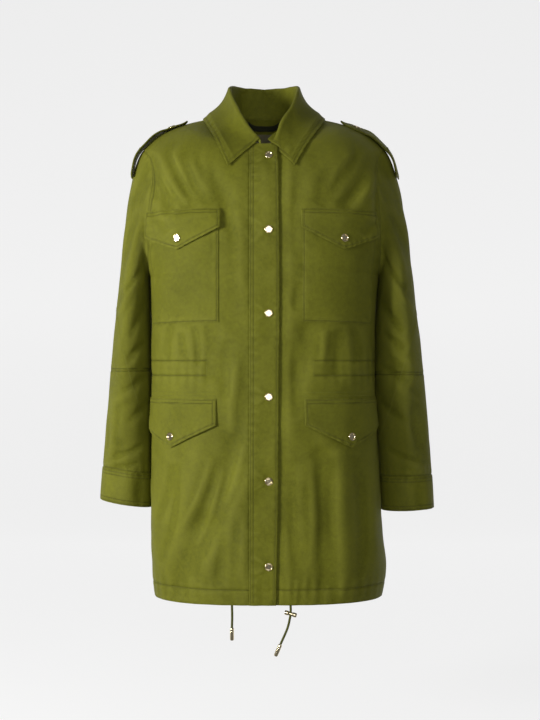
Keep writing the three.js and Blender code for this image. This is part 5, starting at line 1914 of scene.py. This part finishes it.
@dataclass(frozen=True)
class Twill:
    """A cotton twill: diagonal ribs, mottled dye, paler worn edges, ridges paler by wear and painted
    highlight, painted shade in stitch grooves.
    """

    name: str
    deep: Colour = (0.098, 0.102, 0.0065, 1)
    pale: Colour = (0.200, 0.204, 0.0155, 1)
    # Paler colour for worn edges, also used as a painted highlight on crease ridges.
    worn: Colour = (0.26, 0.26, 0.035, 1)
    ribs: float = 445.0
    rib_height: float = 0.0002
    roughness: float = 0.66
    sheen: float = 0.05

    def make(self) -> Look:
        """Makes the material."""
        g = Graph(self.name)
        place = g.add("TexCoord").outputs["Object"]
        cloth = g.add("UVMap", uv_map="cloth").outputs[0]
        edge = g.add("Attribute", attribute_name="edge").outputs["Fac"]
        relief = g.add("Attribute", attribute_name="relief").outputs["Fac"]
        # The stitch groove mark, used below for painted shade.
        sewn = g.add("Attribute", attribute_name="seam").outputs["Fac"]
        ribs = g.add("TexWave", {"Vector": cloth, "Scale": self.ribs, "Distortion": 0.6, "Detail": 1.0},
                     bands_direction="DIAGONAL").outputs[1]
        fibre = g.noise(1500.0, 3.0, place)
        dye = g.spread(g.noise(16.0, 5.0, place), 0.3, 0.7)
        slub = g.spread(g.noise(160.0, 4.0, place), 0.3, 0.75)
        grain = g.spread(g.noise(620.0, 2.0, place), 0.3, 0.7)
        tone = g.plus(g.times(dye, 0.34), g.times(slub, 0.33))
        tone = g.plus(tone, g.times(grain, 0.33))
        base = g.blend(tone, self.deep, self.pale)
        # Crease ridges are made paler, partly as wear and partly as a painted highlight; cut edges are paler
        # from wear.
        ridge = g.times(g.maths("MAXIMUM", relief, 0.0), 0.28)
        seam = g.times(g.times(edge, slub), 0.42)
        base = g.blend(g.plus(ridge, seam), base, self.worn)
        # Painted shade: the stitch grooves are darkened towards a deep shadow tone.
        base = g.blend(g.times(sewn, 0.72), base, tuple(0.35 * c for c in self.deep[:3]) + (1.0,))
        rough = g.plus(g.times(slub, 0.12), self.roughness - 0.06)
        height = g.plus(g.times(ribs, 0.7), g.times(fibre, 0.5))
        bump = g.add("Bump", {"Height": height, "Distance": self.rib_height, "Strength": 1.0}).outputs[0]
        g.feed(g.shader, {
            "Base Color": base, "Roughness": rough, "Normal": bump, "Sheen Weight": self.sheen,
            "Sheen Roughness": 0.45, "Sheen Tint": (0.7, 0.7, 0.25, 1), "Specular IOR Level": 0.16,
        })
        return g.material


@dataclass(frozen=True)
class Brass:
    """Pale gold metal: plated, a little uneven in colour, rubbed finely all over."""

    name: str
    bright: Colour = (0.94, 0.83, 0.56, 1)
    dull: Colour = (0.80, 0.66, 0.39, 1)
    roughness: float = 0.13

    def make(self) -> Look:
        """Makes the material."""
        g = Graph(self.name)
        place = g.add("TexCoord").outputs["Object"]
        patina = g.spread(g.noise(240.0, 4.0, place), 0.35, 0.7)
        scratch = g.noise(2600.0, 2.0, place)
        rough = g.plus(g.times(scratch, 0.08), self.roughness - 0.04)
        bump = g.add("Bump", {"Height": scratch, "Distance": 0.000003, "Strength": 0.6}).outputs[0]
        g.feed(g.shader, {
            "Base Color": g.blend(patina, self.bright, self.dull), "Metallic": 1.0,
            "Roughness": rough, "Normal": bump,
        })
        return g.material


@dataclass(frozen=True)
class Threads:
    """Thread, braid or tape: fine crossing strands with fuzz between them."""

    name: str
    deep: Colour
    pale: Colour
    strands: float = 700.0
    height: float = 0.0002
    charted: bool = True

    def make(self) -> Look:
        """Makes the material. Charted cloth has its strands on its own coordinates."""
        g = Graph(self.name)
        place = g.add("TexCoord").outputs["Object"]
        where = g.add("UVMap", uv_map="cloth").outputs[0] if self.charted else place
        mirrored = g.add("Mapping", {"Vector": where, "Scale": (-1.0, 1.0, 1.0)}).outputs[0]
        waves = [
            g.add("TexWave", {"Vector": way, "Scale": self.strands}, bands_direction="DIAGONAL").outputs[1]
            for way in (where, mirrored)
        ]
        fuzz = g.noise(1800.0, 3.0, place)
        strands = g.maths("MAXIMUM", *waves)
        tone = g.plus(g.times(strands, 0.6), g.times(fuzz, 0.4))
        bump = g.add("Bump", {"Height": tone, "Distance": self.height, "Strength": 1.0}).outputs[0]
        g.feed(g.shader, {
            "Base Color": g.blend(tone, self.deep, self.pale),
            "Roughness": g.plus(g.times(fuzz, 0.2), 0.6),
            "Normal": bump, "Sheen Weight": 0.04, "Sheen Roughness": 0.5, "Specular IOR Level": 0.15,
        })
        return g.material


@dataclass(frozen=True)
class Paper:
    """The studio's plain pale backdrop, barely uneven."""

    name: str
    tone: float = 0.24
    glow: float = 0.75

    def make(self) -> Look:
        """Makes the material."""
        g = Graph(self.name)
        grain = g.noise(3.0, 2.0, g.add("TexCoord").outputs["Object"])
        tone = g.blend(grain, (self.tone - 0.006,) * 3 + (1.0,), (self.tone + 0.006,) * 3 + (1.0,))
        g.feed(g.shader, {
            "Base Color": tone, "Roughness": 0.9, "Specular IOR Level": 0.1,
            "Emission Color": (1.0, 1.0, 1.0, 1.0), "Emission Strength": self.glow,
        })
        return g.material


@dataclass
class Studio:
    """Camera, lights and a pale floor that curves up into a backdrop."""

    camera_place: tuple[float, float, float] = (0.010, -2.2, -0.351)
    lens: float = 64.7
    floor: float = -1.02
    front: float = 0.05
    wall: float = 3.4
    curve: float = 0.9
    half: float = 4.5
    world: float = 0.14
    lights: tuple[tuple[str, tuple[float, float, float], float, float], ...] = (
        ("key", (-1.6, -1.25, -0.15), 0.45, 36.0),
        ("card", (0.2, -2.8, -0.05), 1.1, 17.0),
        ("top", (-0.4, -2.2, 1.9), 1.2, 2.0),
    )

    def camera(self) -> None:
        """The photo's camera: level, straight on, at the coat's middle height."""
        data = bpy.data.cameras.new("camera")
        data.lens, data.sensor_width = self.lens, 36.0
        data.clip_start, data.clip_end = 0.05, 50.0
        camera = bpy.data.objects.new("camera", data)
        camera.location = self.camera_place
        camera.rotation_euler = (QUARTER, 0.0, 0.0)
        bpy.context.scene.collection.objects.link(camera)
        bpy.context.scene.camera = camera

    def light(self) -> None:
        """The even world light and the area lights, each turned to the coat's middle."""
        scene = bpy.context.scene
        world = bpy.data.worlds.new("studio")
        world.use_nodes = True
        world.node_tree.nodes["Background"].inputs[0].default_value = (1.0, 1.0, 1.0, 1.0)
        world.node_tree.nodes["Background"].inputs[1].default_value = self.world
        scene.world = world
        scene.view_settings.view_transform = "Standard"
        for name, place, size, watts in self.lights:
            data = bpy.data.lights.new(name, "AREA")
            data.size, data.energy = size, watts
            lamp = bpy.data.objects.new(name, data)
            lamp.location = place
            aim = lamp.location.copy()
            aim.z += 0.35
            lamp.rotation_euler = aim.to_track_quat("Z", "Y").to_euler()
            scene.collection.objects.link(lamp)

    def backdrop(self, look: Look) -> None:
        """A floor, a quarter round and a wall in one smooth strip."""
        turn = np.linspace(0.0, QUARTER, 17)
        y = np.concatenate([[self.front], self.wall - self.curve + self.curve * np.sin(turn), [self.wall]])
        z = np.concatenate([[self.floor], self.floor + self.curve * (1 - np.cos(turn)), [4.0]])
        rows = [np.stack([np.full(len(y), x), y, z], 1) for x in (-self.half, self.half)]
        points, count = np.concatenate(rows), len(y)
        k = np.arange(count - 1)
        faces = np.stack([k, k + count, k + count + 1, k + 1], 1)
        mesh = bpy.data.meshes.new("backdrop")
        mesh.from_pydata(points.tolist(), [], faces.tolist())
        mesh.polygons.foreach_set("use_smooth", np.ones(len(faces), bool))
        mesh.materials.append(look)
        made = bpy.data.objects.new("backdrop", mesh)
        bpy.context.scene.collection.objects.link(made)


def main() -> None:
    """Builds the studio, the cords and then the coat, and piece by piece."""
    logging.basicConfig(level=logging.INFO, format="%(name)s %(message)s")
    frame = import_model()
    log.info("%d solids in the frame", len(frame["nodes"]))
    cloth, metal = Twill("olive_twill").make(), Brass("pale_gold_metal").make()
    braid = Threads("braided_cord", (0.03, 0.034, 0.005, 1), (0.13, 0.135, 0.025, 1), 330.0, 0.0004).make()
    thread = Threads(
        "sewing_thread", (0.12, 0.124, 0.012, 1), (0.25, 0.252, 0.035, 1), 900.0, 0.0001, charted=False
    ).make()
    tape = Threads("dark_tape", (0.010, 0.011, 0.005, 1), (0.035, 0.037, 0.017, 1)).make()
    label = Threads("bare_label", (0.13, 0.12, 0.06, 1), (0.24, 0.22, 0.13, 1)).make()
    studio, form, sewing = Studio(), BodyForm(), Sewing()
    studio.camera()
    Drawcord(braid, metal).build()
    trunk = Trunk(form, cloth)
    trunk.build(sewing)
    sleeves = Sleeves(form, cloth)
    sleeves.build(sewing)
    body = Cloud.of([trunk.panels[key] for key in ("right", "left", "back")], 2, 560.0)
    caps = Snaps(metal)
    for side in Side:
        word = side.word
        upper = Cloud.of([sleeves.panels[f"sleeve_{word}"]], 2, 560.0)
        strap = Strap(cloth, side, 0.08 if side is Side.RIGHT else 0.4, body, upper)
        strap.build(sewing)
        caps.put(f"shoulder_strap_snap_{word}", strap.panel)
        inner, hip_inner = (71.0, 77.0) if side is Side.RIGHT else (60.0, 65.0)
        chest = Pocket(
            form, cloth, side, "chest", inner=inner, wide=140.0, top=638.0, inner_corner=606.0,
            outer_corner=595.0, point=572.0, over=2.6, patch_top=622.0, patch_foot=455.0,
        )
        hip = Pocket(
            form, cloth, side, "hip", inner=hip_inner, wide=160.0, top=332.0, inner_corner=289.0,
            outer_corner=286.0, point=251.0, over=0.4,
        )
        for pocket in (chest, hip):
            pocket.build(sewing)
            caps.put(f"{pocket.word}_flap_{word}_snap", pocket.flap_panel)
    for k in range(6):
        caps.put(f"front_snap_{k + 1}", trunk.panels["band"])
    Collar(form, cloth, body).build(sewing)
    BackNeck(form, tape, label).build()
    sewing.put(thread)
    studio.light()
    studio.backdrop(Paper("pale_paper").make())


if __name__ == "__main__":
    main()
